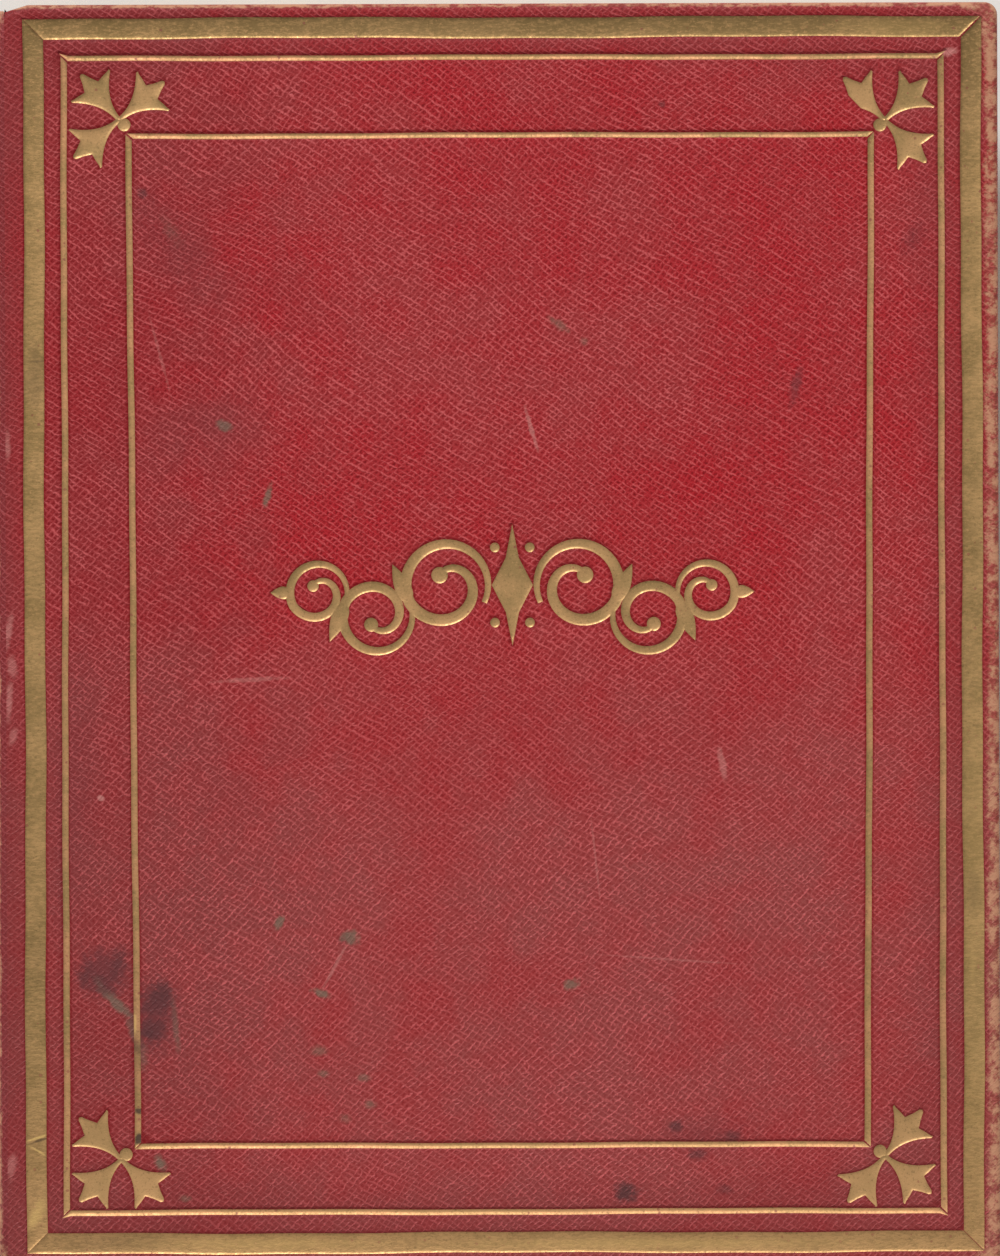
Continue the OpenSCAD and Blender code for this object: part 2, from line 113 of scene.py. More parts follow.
@dataclass(frozen=True)
class Album:
    """The few sizes that all pieces share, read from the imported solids."""

    board_x: float
    fore_x: float
    half_h: float
    thick: float
    cover_t: float
    turn_in: float
    hinge_x: float
    spine_x: float
    block_half_h: float
    leaf_n: int
    corner_r: float = 2.6
    slant_w: float = 4.5
    slant_d: float = 1.4
    leather_t: float = 0.9
    board_t: float = 3.0

    @classmethod
    def from_frame(cls, record: dict[str, Any]) -> "Album":
        """Reads the sizes.

        Args:
            record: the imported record, for the hinge line and the number of leaves.

        Returns:
            The sizes in millimetres.
        """
        low, high = (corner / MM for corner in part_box("front_leather"))
        paste_low, _ = (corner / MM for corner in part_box("front_pastedown"))
        spine_low, _ = (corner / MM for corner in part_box("spine_leather"))
        core_low, _ = (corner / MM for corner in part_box("leaf_1_core"))
        behaviour = record["behaviour"]
        hinge = next(j for j in behaviour["joints"] if j["name"] == "front_joint")
        return cls(board_x=low.x, fore_x=high.x, half_h=high.y, thick=high.z,
                   cover_t=high.z - low.z, turn_in=high.y + paste_low.y,
                   hinge_x=hinge["pos_m"][0] / MM, spine_x=spine_low.x,
                   block_half_h=-core_low.y,
                   leaf_n=sum(name.startswith("leaf_") for name in behaviour["bodies"]))


def arc(centre: Point, radius: float, start: float, end: float, steps: int) -> Outline:
    """Points of an arc, both ends included.

    Args:
        centre: middle of the circle.
        radius: its radius.
        start: first angle in degrees.
        end: last angle in degrees.
        steps: number of equal parts.

    Returns:
        The points in order.
    """
    turns = np.radians(np.linspace(start, end, steps + 1))
    return [(centre[0] + radius * math.cos(a), centre[1] + radius * math.sin(a)) for a in turns]


def divided(outline: Outline, spacing: float, closed: bool = True) -> Outline:
    """The same outline with its long sides cut into equal shorter ones.

    Args:
        outline: the corners.
        spacing: the longest side allowed.
        closed: whether the last point joins the first.

    Returns:
        The outline with the added points.
    """
    points: Outline = []
    last = len(outline) if closed else len(outline) - 1
    for i in range(last):
        a, b = outline[i], outline[(i + 1) % len(outline)]
        parts = max(1, math.ceil(math.dist(a, b) / spacing))
        points += [(a[0] + (b[0] - a[0]) * k / parts, a[1] + (b[1] - a[1]) * k / parts)
                   for k in range(parts)]
    return points if closed else points + [outline[-1]]


def signed_distance(points: np.ndarray, outline: Outline, reach: float = REACH) -> np.ndarray:
    """Distance of points from a closed outline, negative inside it.

    Args:
        points: an array of points, one in a row.
        outline: the closed outline.
        reach: points farther outside than this keep this value.

    Returns:
        One distance for each point.
    """
    a = np.asarray(outline, float)
    result = np.full(len(points), reach)
    near = np.all((points > a.min(0) - reach) & (points < a.max(0) + reach), axis=1)
    p = points[near]
    if not len(p):
        return result
    edge = np.roll(a, -1, axis=0) - a
    away = p[:, None, :] - a[None]
    along = np.clip((away * edge).sum(2) / np.maximum((edge ** 2).sum(1), 1e-12), 0, 1)
    gap = np.linalg.norm(away - along[..., None] * edge, axis=2).min(1)
    y, rise = p[:, 1:2], np.where(edge[:, 1] == 0, 1e-9, edge[:, 1])
    crossed = (a[:, 1] <= y) != (a[:, 1] + edge[:, 1] <= y)
    ahead = p[:, 0:1] < a[:, 0] + (y - a[:, 1]) * edge[:, 0] / rise
    inside = (crossed & ahead).sum(1) % 2 == 1
    result[near] = np.minimum(np.where(inside, -gap, gap), reach)
    return result


def row_beside(outline: Outline, distance: float) -> Outline:
    """Points beside an outline that runs counter-clockwise.

    Args:
        outline: the closed outline.
        distance: how far out, or in where it is negative.

    Returns:
        One point beside each point of the outline.
    """
    p = np.asarray(outline, float)
    ahead = np.roll(p, -1, axis=0) - p
    ahead /= np.maximum(np.linalg.norm(ahead, axis=1, keepdims=True), 1e-9)
    mean = ahead + np.roll(ahead, 1, axis=0)
    mean /= np.maximum(np.linalg.norm(mean, axis=1, keepdims=True), 1e-9)
    stretch = np.clip(1 / np.maximum((mean * ahead).sum(1), 0.3), 1, 2.2)
    out = p + distance * stretch[:, None] * np.stack([mean[:, 1], -mean[:, 0]], axis=1)
    return [tuple(q) for q in out]


def round_tips(outline: Outline, distance: float) -> Outline:
    """Points on arcs round the sharp tips of an outline, where a row beside it leaves a gap.

    Args:
        outline: the closed outline, counter-clockwise.
        distance: radius of the arcs.

    Returns:
        The points of every arc.
    """
    p = np.asarray(outline, float)
    ahead = np.roll(p, -1, axis=0) - p
    heading = np.degrees(np.arctan2(ahead[:, 1], ahead[:, 0]))
    found: Outline = []
    for tip, before, after in zip(p, np.roll(heading, 1), heading):
        turn = (after - before + 180) % 360 - 180
        if turn > SHARP_TIP:
            found += arc(tip, distance, before - 90, before - 90 + turn, 5)
    return found


def counter_clockwise(outline: Outline) -> Outline:
    """Puts an outline in counter-clockwise order.

    Args:
        outline: the closed outline, in either order.

    Returns:
        The same points in counter-clockwise order.
    """
    p = np.asarray(outline)
    area = np.sum(p[:, 0] * np.roll(p[:, 1], -1) - np.roll(p[:, 0], -1) * p[:, 1])
    return outline if area > 0 else outline[::-1]


def triangles(loops: Sequence[Outline], rows: Sequence[Outline], dots: Sequence[Point]
              ) -> tuple[np.ndarray, np.ndarray]:
    """Divides the plane into triangles that keep all loops and rows as edges.

    Args:
        loops: closed outlines.
        rows: open lines of points.
        dots: loose points.

    Returns:
        The points, and three point numbers for each triangle.
    """
    points: Outline = []
    edges: list[tuple[int, int]] = []
    for line, closed in [(l, True) for l in loops] + [(r, False) for r in rows]:
        first, count = len(points), len(line)
        points += line
        edges += [(first + i, first + i + 1) for i in range(count - 1)]
        if closed:
            edges.append((first + count - 1, first))
    points += list(dots)
    found = delaunay_2d_cdt([Vector(p) for p in points], edges, [], 0, AS_ONE, False)
    return np.array([tuple(v) for v in found[0]]), np.array(found[2])


def mesh_piece(name: str, vertices: Sequence[Vertex], faces: Sequence[Sequence[int]],
               materials: Sequence[Material], slots: Sequence[int] | None = None,
               merge: float = 0.0) -> Piece:
    """Makes one mesh object, smooth apart from edges sharper than SMOOTH_UP_TO degrees.

    Args:
        name: its name.
        vertices: the points in millimetres.
        faces: the point numbers of each face.
        materials: its materials.
        slots: the material number of each face, or None where it has one material.
        merge: points closer than this become one.

    Returns:
        The object, linked to the scene.
    """
    mesh = bpy.data.meshes.new(name)
    mesh.from_pydata([(x * MM, y * MM, z * MM) for x, y, z in vertices], [], faces)
    for material in materials:
        mesh.materials.append(material)
    if slots is not None:
        mesh.polygons.foreach_set("material_index", np.asarray(slots, np.int32))
    mesh.validate()
    piece = bpy.data.objects.new(name, mesh)
    bpy.context.scene.collection.objects.link(piece)
    if merge:
        weld = piece.modifiers.new("weld", "WELD")
        weld.merge_threshold = merge * MM
        apply_modifiers(piece)
    piece.data.shade_smooth()
    piece.data.set_sharp_from_angle(angle=math.radians(SMOOTH_UP_TO))
    return piece


def apply_modifiers(piece: Piece) -> None:
    """Turns a piece's modifiers into plain mesh.

    Args:
        piece: the object, which keeps its name and its mesh's name.
    """
    depsgraph = bpy.context.evaluated_depsgraph_get()
    shaped = bpy.data.meshes.new_from_object(piece.evaluated_get(depsgraph))
    old, name = piece.data, piece.data.name
    piece.modifiers.clear()
    piece.data = shaped
    bpy.data.meshes.remove(old)
    shaped.name = name


def lofted(name: str, rings: Sequence[Sequence[Vertex]], materials: Sequence[Material],
           closed_ring: bool, capped: bool = False,
           slot_of: Callable[[int, int], int] | None = None) -> Piece:
    """Makes a mesh from rings of the same number of points.

    Args:
        name: the object's name.
        rings: the rings in order.
        materials: its materials.
        closed_ring: whether each ring's last point joins its first.
        capped: whether the first and last ring are filled.
        slot_of: gives a face's material number from its ring and its place in the ring.

    Returns:
        The object.
    """
    count = len(rings[0])
    vertices = [v for ring in rings for v in ring]
    faces, slots = [], []
    for i in range(len(rings) - 1):
        for j in range(count if closed_ring else count - 1):
            a, b = i * count + j, i * count + (j + 1) % count
            faces.append((a, b, b + count, a + count))
            slots.append(slot_of(i, j) if slot_of else 0)
    if capped:
        faces += [tuple(range(count))[::-1], tuple(range(len(vertices) - count, len(vertices)))]
        slots += [0, 0]
    return mesh_piece(name, vertices, faces, materials, slots)


def report(piece: Piece, body: str, *nodes: str, slot: str = "") -> Piece:
    """Lets a piece ride on a body in place of its solids, and says so.

    Args:
        piece: the finished piece.
        body: the body that carries it.
        nodes: the solids that it stands for.
        slot: the record's material; not used.

    Returns:
        The piece.
    """
    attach(piece, body)
    if nodes:
        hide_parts(*nodes)
    LOG.info("%s on %s: %d faces", piece.name, body, len(piece.data.polygons))
    return piece


def srgb(red: float, green: float, blue: float) -> tuple[float, float, float, float]:
    """Turns a colour as seen on a screen into the linear values of a shader.

    Args:
        red: 0 to 255.
        green: 0 to 255.
        blue: 0 to 255.

    Returns:
        Red, green and blue from 0 to 1, and an alpha of 1.
    """
    part = [c / 255 for c in (red, green, blue)]
    linear = [c / 12.92 if c <= 0.04045 else ((c + 0.055) / 1.055) ** 2.4 for c in part]
    return (*linear, 1.0)


class Graph:
    """Short calls that place and join the nodes of one tree."""

    def __init__(self, tree: Tree) -> None:
        """Takes the tree to work on."""
        self.tree = tree

    def feed(self, socket: Socket, value: Any) -> None:
        """Joins another socket to this one, or sets a plain value on it.

        Args:
            socket: the input.
            value: an output's socket, or a plain value.
        """
        if isinstance(value, Socket):
            self.tree.links.new(value, socket)
        else:
            socket.default_value = value

    def place(self, kind: str, inputs: dict[Any, Any], **settings: Any) -> bpy.types.Node:
        """Adds a node.

        Args:
            kind: its type.
            inputs: a socket or a value for each input, by name or number.
            settings: the node's own properties.

        Returns:
            The node.
        """
        node = self.tree.nodes.new(kind)
        for key, value in settings.items():
            setattr(node, key, value)
        for key, value in inputs.items():
            self.feed(node.inputs[key], value)
        return node

    def math(self, operation: str, *values: Any) -> Socket:
        """One sum on numbers."""
        return self.place("ShaderNodeMath", dict(enumerate(values)), operation=operation).outputs[0]

    def times(self, *values: Any) -> Socket:
        """The product of two numbers."""
        return self.math("MULTIPLY", *values)

    def vector(self, operation: str, *values: Any) -> Socket:
        """One sum on vectors.

        Args:
            operation: what it does.
            values: its sockets or values; the second one of a SCALE is a number.

        Returns:
            The result's socket.
        """
        node = self.place("ShaderNodeVectorMath", {}, operation=operation)
        for i, value in enumerate(values):
            self.feed(node.inputs["Scale" if operation == "SCALE" and i == 1 else i], value)
        return node.outputs["Vector"]

    def turned(self, x: Any, y: Any, degrees: Any) -> tuple[Any, Any]:
        """Reads a place in a turned frame.

        Args:
            x: its place along X.
            y: its place along Y.
            degrees: how far the frame is turned.

        Returns:
            The place along and across the turned direction.
        """
        turn = self.math("RADIANS", degrees)
        sine, cosine = self.math("SINE", turn), self.math("COSINE", turn)
        return (self.math("ADD", self.times(x, cosine), self.times(y, sine)),
                self.math("SUBTRACT", self.times(y, cosine), self.times(x, sine)))

    def ramp(self, value: Any, low: float, high: float, to_low: float = 0.0,
             to_high: float = 1.0) -> Socket:
        """A smooth step.

        Args:
            value: the number to read.
            low: where the step starts.
            high: where it ends.
            to_low: the result before the step.
            to_high: the result after it.

        Returns:
            The result's socket.
        """
        up = low <= high
        ends = {"Value": value, "From Min": low if up else high, "From Max": high if up else low,
                "To Min": to_low if up else to_high, "To Max": to_high if up else to_low}
        return self.place("ShaderNodeMapRange", ends, interpolation_type="SMOOTHSTEP").outputs["Result"]

    def mix(self, share: Any, first: Any, second: Any) -> Socket:
        """Mixes two colours.

        Args:
            share: how much of the second one, from 0 to 1.
            first: a colour as seen on a screen, or a socket.
            second: a colour as seen on a screen, or a socket.

        Returns:
            The mixed colour's socket.
        """
        pair = [c if isinstance(c, Socket) else srgb(*c) for c in (first, second)]
        node = self.place("ShaderNodeMix", {0: share, 6: pair[0], 7: pair[1]}, data_type="RGBA")
        return node.outputs[2]

    def noise(self, vector: Any, size: Any, detail: float = 2.0, rough: float = 0.5,
              output: str = "Fac") -> Socket:
        """Smooth noise.

        Args:
            vector: where it is read, in millimetres.
            size: the width of a patch in millimetres, or a socket that gives it.
            detail: the number of finer layers.
            rough: how strong these are.
            output: Fac for a number, Color for a vector.

        Returns:
            The result's socket.
        """
        scale = self.math("DIVIDE", 1.0, size) if isinstance(size, Socket) else 1 / size
        return self.place("ShaderNodeTexNoise", {"Vector": vector, "Scale": scale, "Detail": detail,
                                                 "Roughness": rough}).outputs[output]

    def effect(self, group: Tree, inputs: dict[str, Any]) -> bpy.types.Node:
        """Places a shared effect with its own values."""
        return self.place("ShaderNodeGroup", inputs, node_tree=group)


class Effects:
    """The effects that several finishes share, each a node group built when it is first asked for."""

    @staticmethod
    def begun(name: str, inputs: dict[str, Any]) -> tuple[Graph, Any]:
        """Starts a group.

        Args:
            name: its name.
            inputs: the inputs' names and first values; a tuple makes a vector.

        Returns:
            The group's graph and the sockets of its inputs.
        """
        tree = bpy.data.node_groups.new(name, "ShaderNodeTree")
        for key, value in inputs.items():
            kind = "NodeSocketVector" if isinstance(value, tuple) else "NodeSocketFloat"
            socket = tree.interface.new_socket(key, in_out="INPUT", socket_type=kind)
            socket.default_value = value
        return Graph(tree), tree.nodes.new("NodeGroupInput").outputs

    @staticmethod
    def ended(g: Graph, **results: Socket) -> Tree:
        """Gives a group its outputs.

        Args:
            g: the group's graph.
            results: the number that each output gives.

        Returns:
            The group's tree.
        """
        for key in results:
            g.tree.interface.new_socket(key, in_out="OUTPUT", socket_type="NodeSocketFloat")
        g.place("NodeGroupOutput", results)
        return g.tree

    @cached_property
    def crossed_grain(self) -> Tree:
        """Straight grain boarded twice: two families of fine ridges that cross.

        Each family is waves across its own direction, broken into dashes that swell and taper.

        Returns:
            A group with the masks Ridge and Pit, the fine noise Pores, and Height for a bump.
        """
        g, given = self.begun("crossed_grain", {
            "Vector": ORIGIN, "Falling": -33.0, "Falling Pitch": 1.12, "Rising": 46.0,
            "Rising Pitch": 0.98, "Rising Share": 0.3, "Shake": 1.05})
        half = (0.5, 0.5, 0.5)
        x, y, z = g.place("ShaderNodeSeparateXYZ", {0: given["Vector"]}).outputs
        sheared = g.math("ADD", y, g.times(z, 0.6))
        where = g.place("ShaderNodeCombineXYZ", {"X": g.math("ADD", x, z), "Y": sheared}).outputs[0]
        sway = g.vector("SUBTRACT", g.noise(where, 38.0, 1.0, output="Color"), half)
        shake = g.vector("SUBTRACT", g.noise(where, 1.9, 2.0, 0.6, output="Color"), half)
        moved = g.vector("ADD", where, g.vector("SCALE", sway, 7.0))
        moved = g.vector("ADD", moved, g.vector("SCALE", shake, given["Shake"]))
        x, y, _ = g.place("ShaderNodeSeparateXYZ", {0: moved}).outputs
        ridges, hollows = [], []
        share = given["Rising Share"]
        for family, to_low, to_high, dash in (("Falling", 1.0, 0.55, 2.6), ("Rising", 0.5, 1.0, 1.4)):
            along, across = g.turned(x, y, given[family])
            row = g.math("DIVIDE", across, given[f"{family} Pitch"])
            wave = g.math("PINGPONG", row, 0.5)
            at = g.place("ShaderNodeCombineXYZ", {"X": g.math("DIVIDE", along, dash),
                                                  "Y": g.times(row, 0.9)})
            swell = g.ramp(g.noise(at.outputs[0], 1.0, 2.0), 0.36, 0.64, 0.0, 0.20)
            line = g.ramp(g.math("SUBTRACT", wave, swell), 0.10, -0.14)
            ridges.append(g.times(line, g.ramp(share, 0.0, 1.0, to_low, to_high)))
            hollows.append(g.ramp(wave, 0.10, 0.38))
        ridge = g.math("MAXIMUM", *ridges)
        pores = g.noise(where, 0.42, 2.0, 0.6)
        pit = g.times(g.times(*hollows), g.ramp(pores, 0.66, 0.40))
        height = g.math("ADD", g.times(ridge, 0.8), g.times(pores, 0.35))
        height = g.math("SUBTRACT", height, g.times(pit, 0.2))
        return self.ended(g, Ridge=ridge, Pit=pit, Pores=pores, Height=height)

    @cached_property
    def edge_wear(self) -> Tree:
        """Wear that runs in from the sides of a rectangle, and farther at its corners.

        It adds up how near the sides are, each in parts of its reach, and roughens the result.

        Returns:
            A group with the mask Wear.
        """
        g, given = self.begun("edge_wear", {
            "Vector": ORIGIN, "Low": ORIGIN, "High": (1.0, 1.0, 0.0), "Low Reach": (1.0, 1.0, 1.0),
            "High Reach": (1.0, 1.0, 1.0), "Ragged": 1.0})
        where = given["Vector"]
        low = g.vector("DIVIDE", g.vector("SUBTRACT", where, given["Low"]), given["Low Reach"])
        high = g.vector("DIVIDE", g.vector("SUBTRACT", given["High"], where), given["High Reach"])
        near: Any = 0.0
        for side in (low, high):
            for part in g.place("ShaderNodeSeparateXYZ", {0: side}).outputs[:2]:
                near = g.math("ADD", near, g.math("DIVIDE", 1.0, g.math("MAXIMUM", part, 0.05)))
        ragged = g.math("ADD", g.times(g.noise(where, 6.0, 3.0, 0.6), 0.5),
                        g.times(g.noise(where, 0.9, 3.0, 0.7), 0.5))
        ragged = g.times(g.math("SUBTRACT", ragged, 0.5), given["Ragged"])
        return self.ended(g, Wear=g.ramp(g.math("ADD", g.math("DIVIDE", 1.0, near), ragged), 1.2, 0.7))

    @cached_property
    def mark(self) -> Tree:
        """One ragged spot or streak with a soft edge, turned and stretched.

        Returns:
            A group with the mask Mask.
        """
        g, given = self.begun("mark", {
            "Vector": ORIGIN, "Centre": ORIGIN, "Ragged": 0.0, "Half Length": 1.0, "Half Width": 1.0,
            "Turn": 0.0, "Soft": 0.4})
        away = g.vector("SUBTRACT", given["Vector"], given["Centre"])
        x, y, _ = g.place("ShaderNodeSeparateXYZ", {0: away}).outputs
        along, across = g.turned(x, y, given["Turn"])
        part = g.place("ShaderNodeCombineXYZ", {"X": g.math("DIVIDE", along, given["Half Length"]),
                                                "Y": g.math("DIVIDE", across, given["Half Width"])})
        length = g.place("ShaderNodeVectorMath", {0: part.outputs[0]}, operation="LENGTH")
        far = g.math("ADD", length.outputs["Value"], g.times(given["Ragged"], 1.6))
        far = g.math("DIVIDE", g.math("SUBTRACT", far, 0.85), given["Soft"])
        return self.ended(g, Mask=g.ramp(far, 1.0, -1.0))

    @cached_property
    def specks(self) -> Tree:
        """Small dots strewn over a surface: the middles of a share of random cells.

        Returns:
            A group with the mask Mask.
        """
        g, given = self.begun("specks", {"Vector": ORIGIN, "Spacing": 2.0, "Share": 0.3})
        at = g.vector("SCALE", given["Vector"], g.math("DIVIDE", 1.0, given["Spacing"]))
        cells = g.place("ShaderNodeTexVoronoi", {"Vector": at, "Scale": 1.0}, feature="F1")
        pick = g.place("ShaderNodeSeparateColor", {0: cells.outputs["Color"]}).outputs[0]
        chosen = g.math("LESS_THAN", pick, given["Share"])
        rough = g.times(g.math("SUBTRACT", g.noise(given["Vector"], 0.3, 2.0), 0.5), 0.35)
        dot = g.ramp(g.math("ADD", cells.outputs["Distance"], rough), 0.30, 0.12)
        return self.ended(g, Mask=g.times(chosen, dot))

    @cached_property
    def mottle(self) -> Tree:
        """Broad uneven patches.

        Returns:
            A group with the mask Patch.
        """
        g, given = self.begun("mottle", {"Vector": ORIGIN, "Size": 30.0})
        broad = g.noise(given["Vector"], given["Size"], 3.0, 0.55)
        return self.ended(g, Patch=g.ramp(broad, 0.34, 0.66))

    @cached_property
    def weave(self) -> Tree:
        """Plain weave, whose warp and weft pass over each other in turn.

        Returns:
            A group with Shade, light on the threads and dark between them, and Height for a bump.
        """
        g, given = self.begun("weave", {"Vector": ORIGIN, "Pitch": 0.5})
        wobble = g.vector("SUBTRACT", g.noise(given["Vector"], 3.0, 2.0, output="Color"),
                          (0.5, 0.5, 0.5))
        at = g.vector("ADD", given["Vector"], g.vector("SCALE", wobble, 0.3))
        at = g.vector("SCALE", at, g.math("DIVIDE", math.pi, given["Pitch"]))
        waves = [g.math("SINE", v) for v in g.place("ShaderNodeSeparateXYZ", {0: at}).outputs[:2]]
        warp, weft = (g.math("ABSOLUTE", wave) for wave in waves)
        over = g.times(g.math("GREATER_THAN", g.times(*waves), 0.0), 0.4)
        height = g.math("ADD", g.times(warp, g.math("ADD", 0.5, over)),
                        g.times(weft, g.math("SUBTRACT", 0.9, over)))
        return self.ended(g, Shade=g.ramp(height, 0.3, 1.2), Height=height)

    @cached_property
    def fibre(self) -> Tree:
        """Felted paper fibres, cloudy as in thick paper and card.

        Returns:
            A group with Threads and Clouds, both from 0 to 1.
        """
        g, given = self.begun("fibre", {"Vector": ORIGIN, "Length": 0.5})
        wide, tall = (g.vector("MULTIPLY", given["Vector"], stretch)
                      for stretch in ((1.0, 0.25, 0.4), (0.3, 1.0, 0.4)))
        threads = g.math("MAXIMUM", g.noise(wide, given["Length"], 3.0, 0.6),
                         g.noise(tall, given["Length"], 3.0, 0.6))
        clouds = g.noise(given["Vector"], 11.0, 3.0, 0.6)
        return self.ended(g, Threads=threads, Clouds=g.ramp(clouds, 0.3, 0.7))


class Surface:
    """One material under construction: graph, shader and the place of each point in millimetres."""

    def __init__(self, name: str, **plain: Any) -> None:
        """Starts a material.

        Args:
            name: its name.
            plain: values that are the same all over, by the shader's input with _ for a space.
        """
        self.material = bpy.data.materials.new(name)
        self.material.use_nodes = True
        self.graph = Graph(self.material.node_tree)
        self.shader = self.material.node_tree.nodes["Principled BSDF"]
        place = self.graph.place("ShaderNodeTexCoord", {})
        self.where = self.graph.vector("SCALE", place.outputs["Object"], 1 / MM)
        self.facing = place.outputs["Normal"]
        for key, value in plain.items():
            self.shader.inputs[key.replace("_", " ")].default_value = value

    def paint(self, colour: Socket, rough: Socket | None = None) -> None:
        """Joins a colour and a roughness to the shader.

        Args:
            colour: the colour's socket.
            rough: the roughness's socket, or None where it is the same all over.
        """
        self.graph.feed(self.shader.inputs["Base Color"], colour)
        if rough is not None:
            self.graph.feed(self.shader.inputs["Roughness"], rough)

    def bump(self, height: Socket, depth: float) -> None:
        """Raises the surface by a height from 0 to 1, whose full depth is in millimetres."""
        bump = self.graph.place("ShaderNodeBump", {"Height": height, "Distance": depth * MM,
                                                   "Strength": 1.0})
        self.graph.feed(self.shader.inputs["Normal"], bump.outputs[0])

    def effect(self, group: Tree, **values: Any) -> bpy.types.NodeOutputs:
        """Places a shared effect that reads this surface's place; _ in a name stands for a space."""
        inputs = {key.replace("_", " "): value for key, value in values.items()}
        return self.graph.effect(group, {"Vector": self.where, **inputs}).outputs


class MarkKind(Enum):
    """What a mark on the leather or the gold is, with the colour that it leaves; the bright kind is a
    painted highlight.
    """

    DARK = (62, 48, 48)
    GREY = (112, 94, 80)
    GREEN = (112, 98, 82)
    PALE = (188, 118, 112)
    BRUISE = (104, 50, 52)
    # painted highlight, used on the gold
    HIGHLIGHT = (240, 200, 128)


@dataclass(frozen=True)
class Mark:
    """A stain, spot, scratch, painted highlight or painted shadow on a cover, in millimetres from the
    middle of the cover's face.
    """

    kind: MarkKind
    x: float
    y: float
    half_length: float
    half_width: float
    turn: float = 0.0
    strength: float = 0.8
    soft: float = 0.4


def rows_of(kind: MarkKind, *rows: tuple[float, ...]) -> tuple[Mark, ...]:
    """Marks of one kind, each row with a mark's other values in their order."""
    return tuple(Mark(kind, *row) for row in rows)


FRONT_MARKS = (
    *rows_of(MarkKind.BRUISE, (-79.6, -67.2, 5.4, 5.0, 0, 0.75, 0.5),
             (-69.2, -75.6, 7.4, 4.4, 80, 0.75, 0.6), (40.0, -100.0, 9.0, 3.4, 5, 0.35, 0.8),
             (59.4, 50.0, 4.0, 1.1, 78, 0.6, 0.6), (-58.0, 42.0, 12.0, 6.0, 25, 0.22, 0.9),
             (-65.0, 78.0, 12.0, 5.0, -50, 0.3, 0.9), (-86.0, -30.0, 26.0, 5.0, 88, 0.3, 0.9),
             (82.6, 79.0, 3.4, 1.8, 60, 0.4, 0.8)),
    *rows_of(MarkKind.DARK, (-83.2, -67.8, 2.8, 1.3, 75, 0.55, 0.7),
             (-76.9, -66.2, 3.6, 1.5, 72, 0.6, 0.7), (-79.9, -69.6, 3.2, 1.5, -48, 0.75, 0.6),
             (-68.6, -72.8, 3.6, 3.0, 60, 0.9, 0.5), (-70.0, -78.8, 3.2, 2.4, 25, 0.85, 0.5),
             (-68.2, -72.6, 2.6, 1.9, 62, 1.0, 0.7), (-70.3, -79.2, 2.2, 1.9, 20, 1.0, 0.7),
             (24.8, -111.6, 2.5, 2.1, 0, 0.75, 0.5), (34.9, -98.4, 1.7, 1.2, 10, 0.6, 0.6),
             (39.2, -104.0, 2.0, 1.3, 0, 0.55, 0.7), (46.0, -100.4, 2.0, 1.3, 0, 0.5, 0.7),
             (44.5, -111.0, 1.6, 1.0, 0, 0.4, 0.7), (-31.0, -60.6, 1.7, 1.1, 20, 0.35, 0.7),
             (-71.2, 88.6, 1.2, 1.0, 0, 0.5, 0.6), (32.6, 106.0, 0.9, 0.7, 0, 0.45, 0.6)),
    *rows_of(MarkKind.GREY, (-80.4, -69.4, 1.9, 0.8, -60, 0.7, 0.6),
             (-77.0, -73.4, 5.4, 1.1, -43, 0.8, 0.5), (-73.6, -79.0, 3.6, 1.0, -72, 0.6, 0.6),
             (-65.2, -77.4, 5.2, 0.7, -84, 0.55, 0.6), (-72.0, -83.4, 3.2, 1.3, -84, 0.5, 0.7),
             (-65.5, 81.0, 3.0, 1.4, -60, 0.3, 0.8)),
    *rows_of(MarkKind.GREEN, (-44.4, -57.4, 1.5, 1.0, 60, 0.75), (-30.0, -60.4, 2.0, 1.6, 0, 0.7),
             (-36.0, -71.6, 1.9, 0.9, -20, 0.8), (-36.4, -83.0, 1.8, 1.1, 0, 0.5, 0.6),
             (-35.6, -87.6, 1.1, 0.8, 0, 0.5, 0.6), (-27.6, -88.4, 1.3, 0.8, 0, 0.5, 0.6),
             (-26.2, -93.8, 1.2, 0.9, 0, 0.5, 0.6), (-31.2, -96.6, 1.2, 1.0, 0, 0.35, 0.6),
             (-68.3, -105.4, 1.6, 1.1, -60, 0.8, 0.6), (-63.2, -112.6, 1.2, 0.7, 0, 0.45, 0.6),
             (17.0, 58.6, 1.0, 0.8, 0, 0.4, 0.6), (14.0, -70.0, 1.8, 1.2, 30, 0.7),
             (-55.0, 42.0, 1.7, 1.2, -30, 0.75), (-46.4, 28.0, 2.4, 0.8, 75, 0.75),
             (12.0, 62.0, 2.4, 1.0, -35, 0.45)),
    *rows_of(MarkKind.PALE, (44.4, -26.0, 3.4, 0.8, 100, 0.5), (6.3, 41.5, 4.6, 0.5, -74, 0.6),
             (-67.8, 56.0, 8.5, 0.35, -75, 0.25), (-50.0, -8.8, 7.5, 0.5, 3, 0.4),
             (-33.4, -66.5, 5.5, 0.4, 62, 0.45), (34.0, -65.0, 16.0, 0.25, -4, 0.3),
             (19.0, -45.0, 9.0, 0.25, -84, 0.3), (-80.0, -32.4, 0.7, 0.6, 0, 0.9),
             (-98.3, 1.0, 3.4, 0.8, 80, 0.6, 0.5), (-97.6, -6.0, 2.4, 1.0, 100, 0.5, 0.5),
             (-98.2, -13.0, 4.0, 0.7, 88, 0.6, 0.5), (-97.4, -20.0, 2.0, 0.8, 70, 0.45, 0.5),
             (-98.4, 38.0, 3.0, 0.6, 92, 0.5, 0.5), (-98.0, -106.0, 2.6, 1.0, 80, 0.5, 0.5),
             (90.4, 116.4, 1.6, 1.0, 20, 0.8)),
)


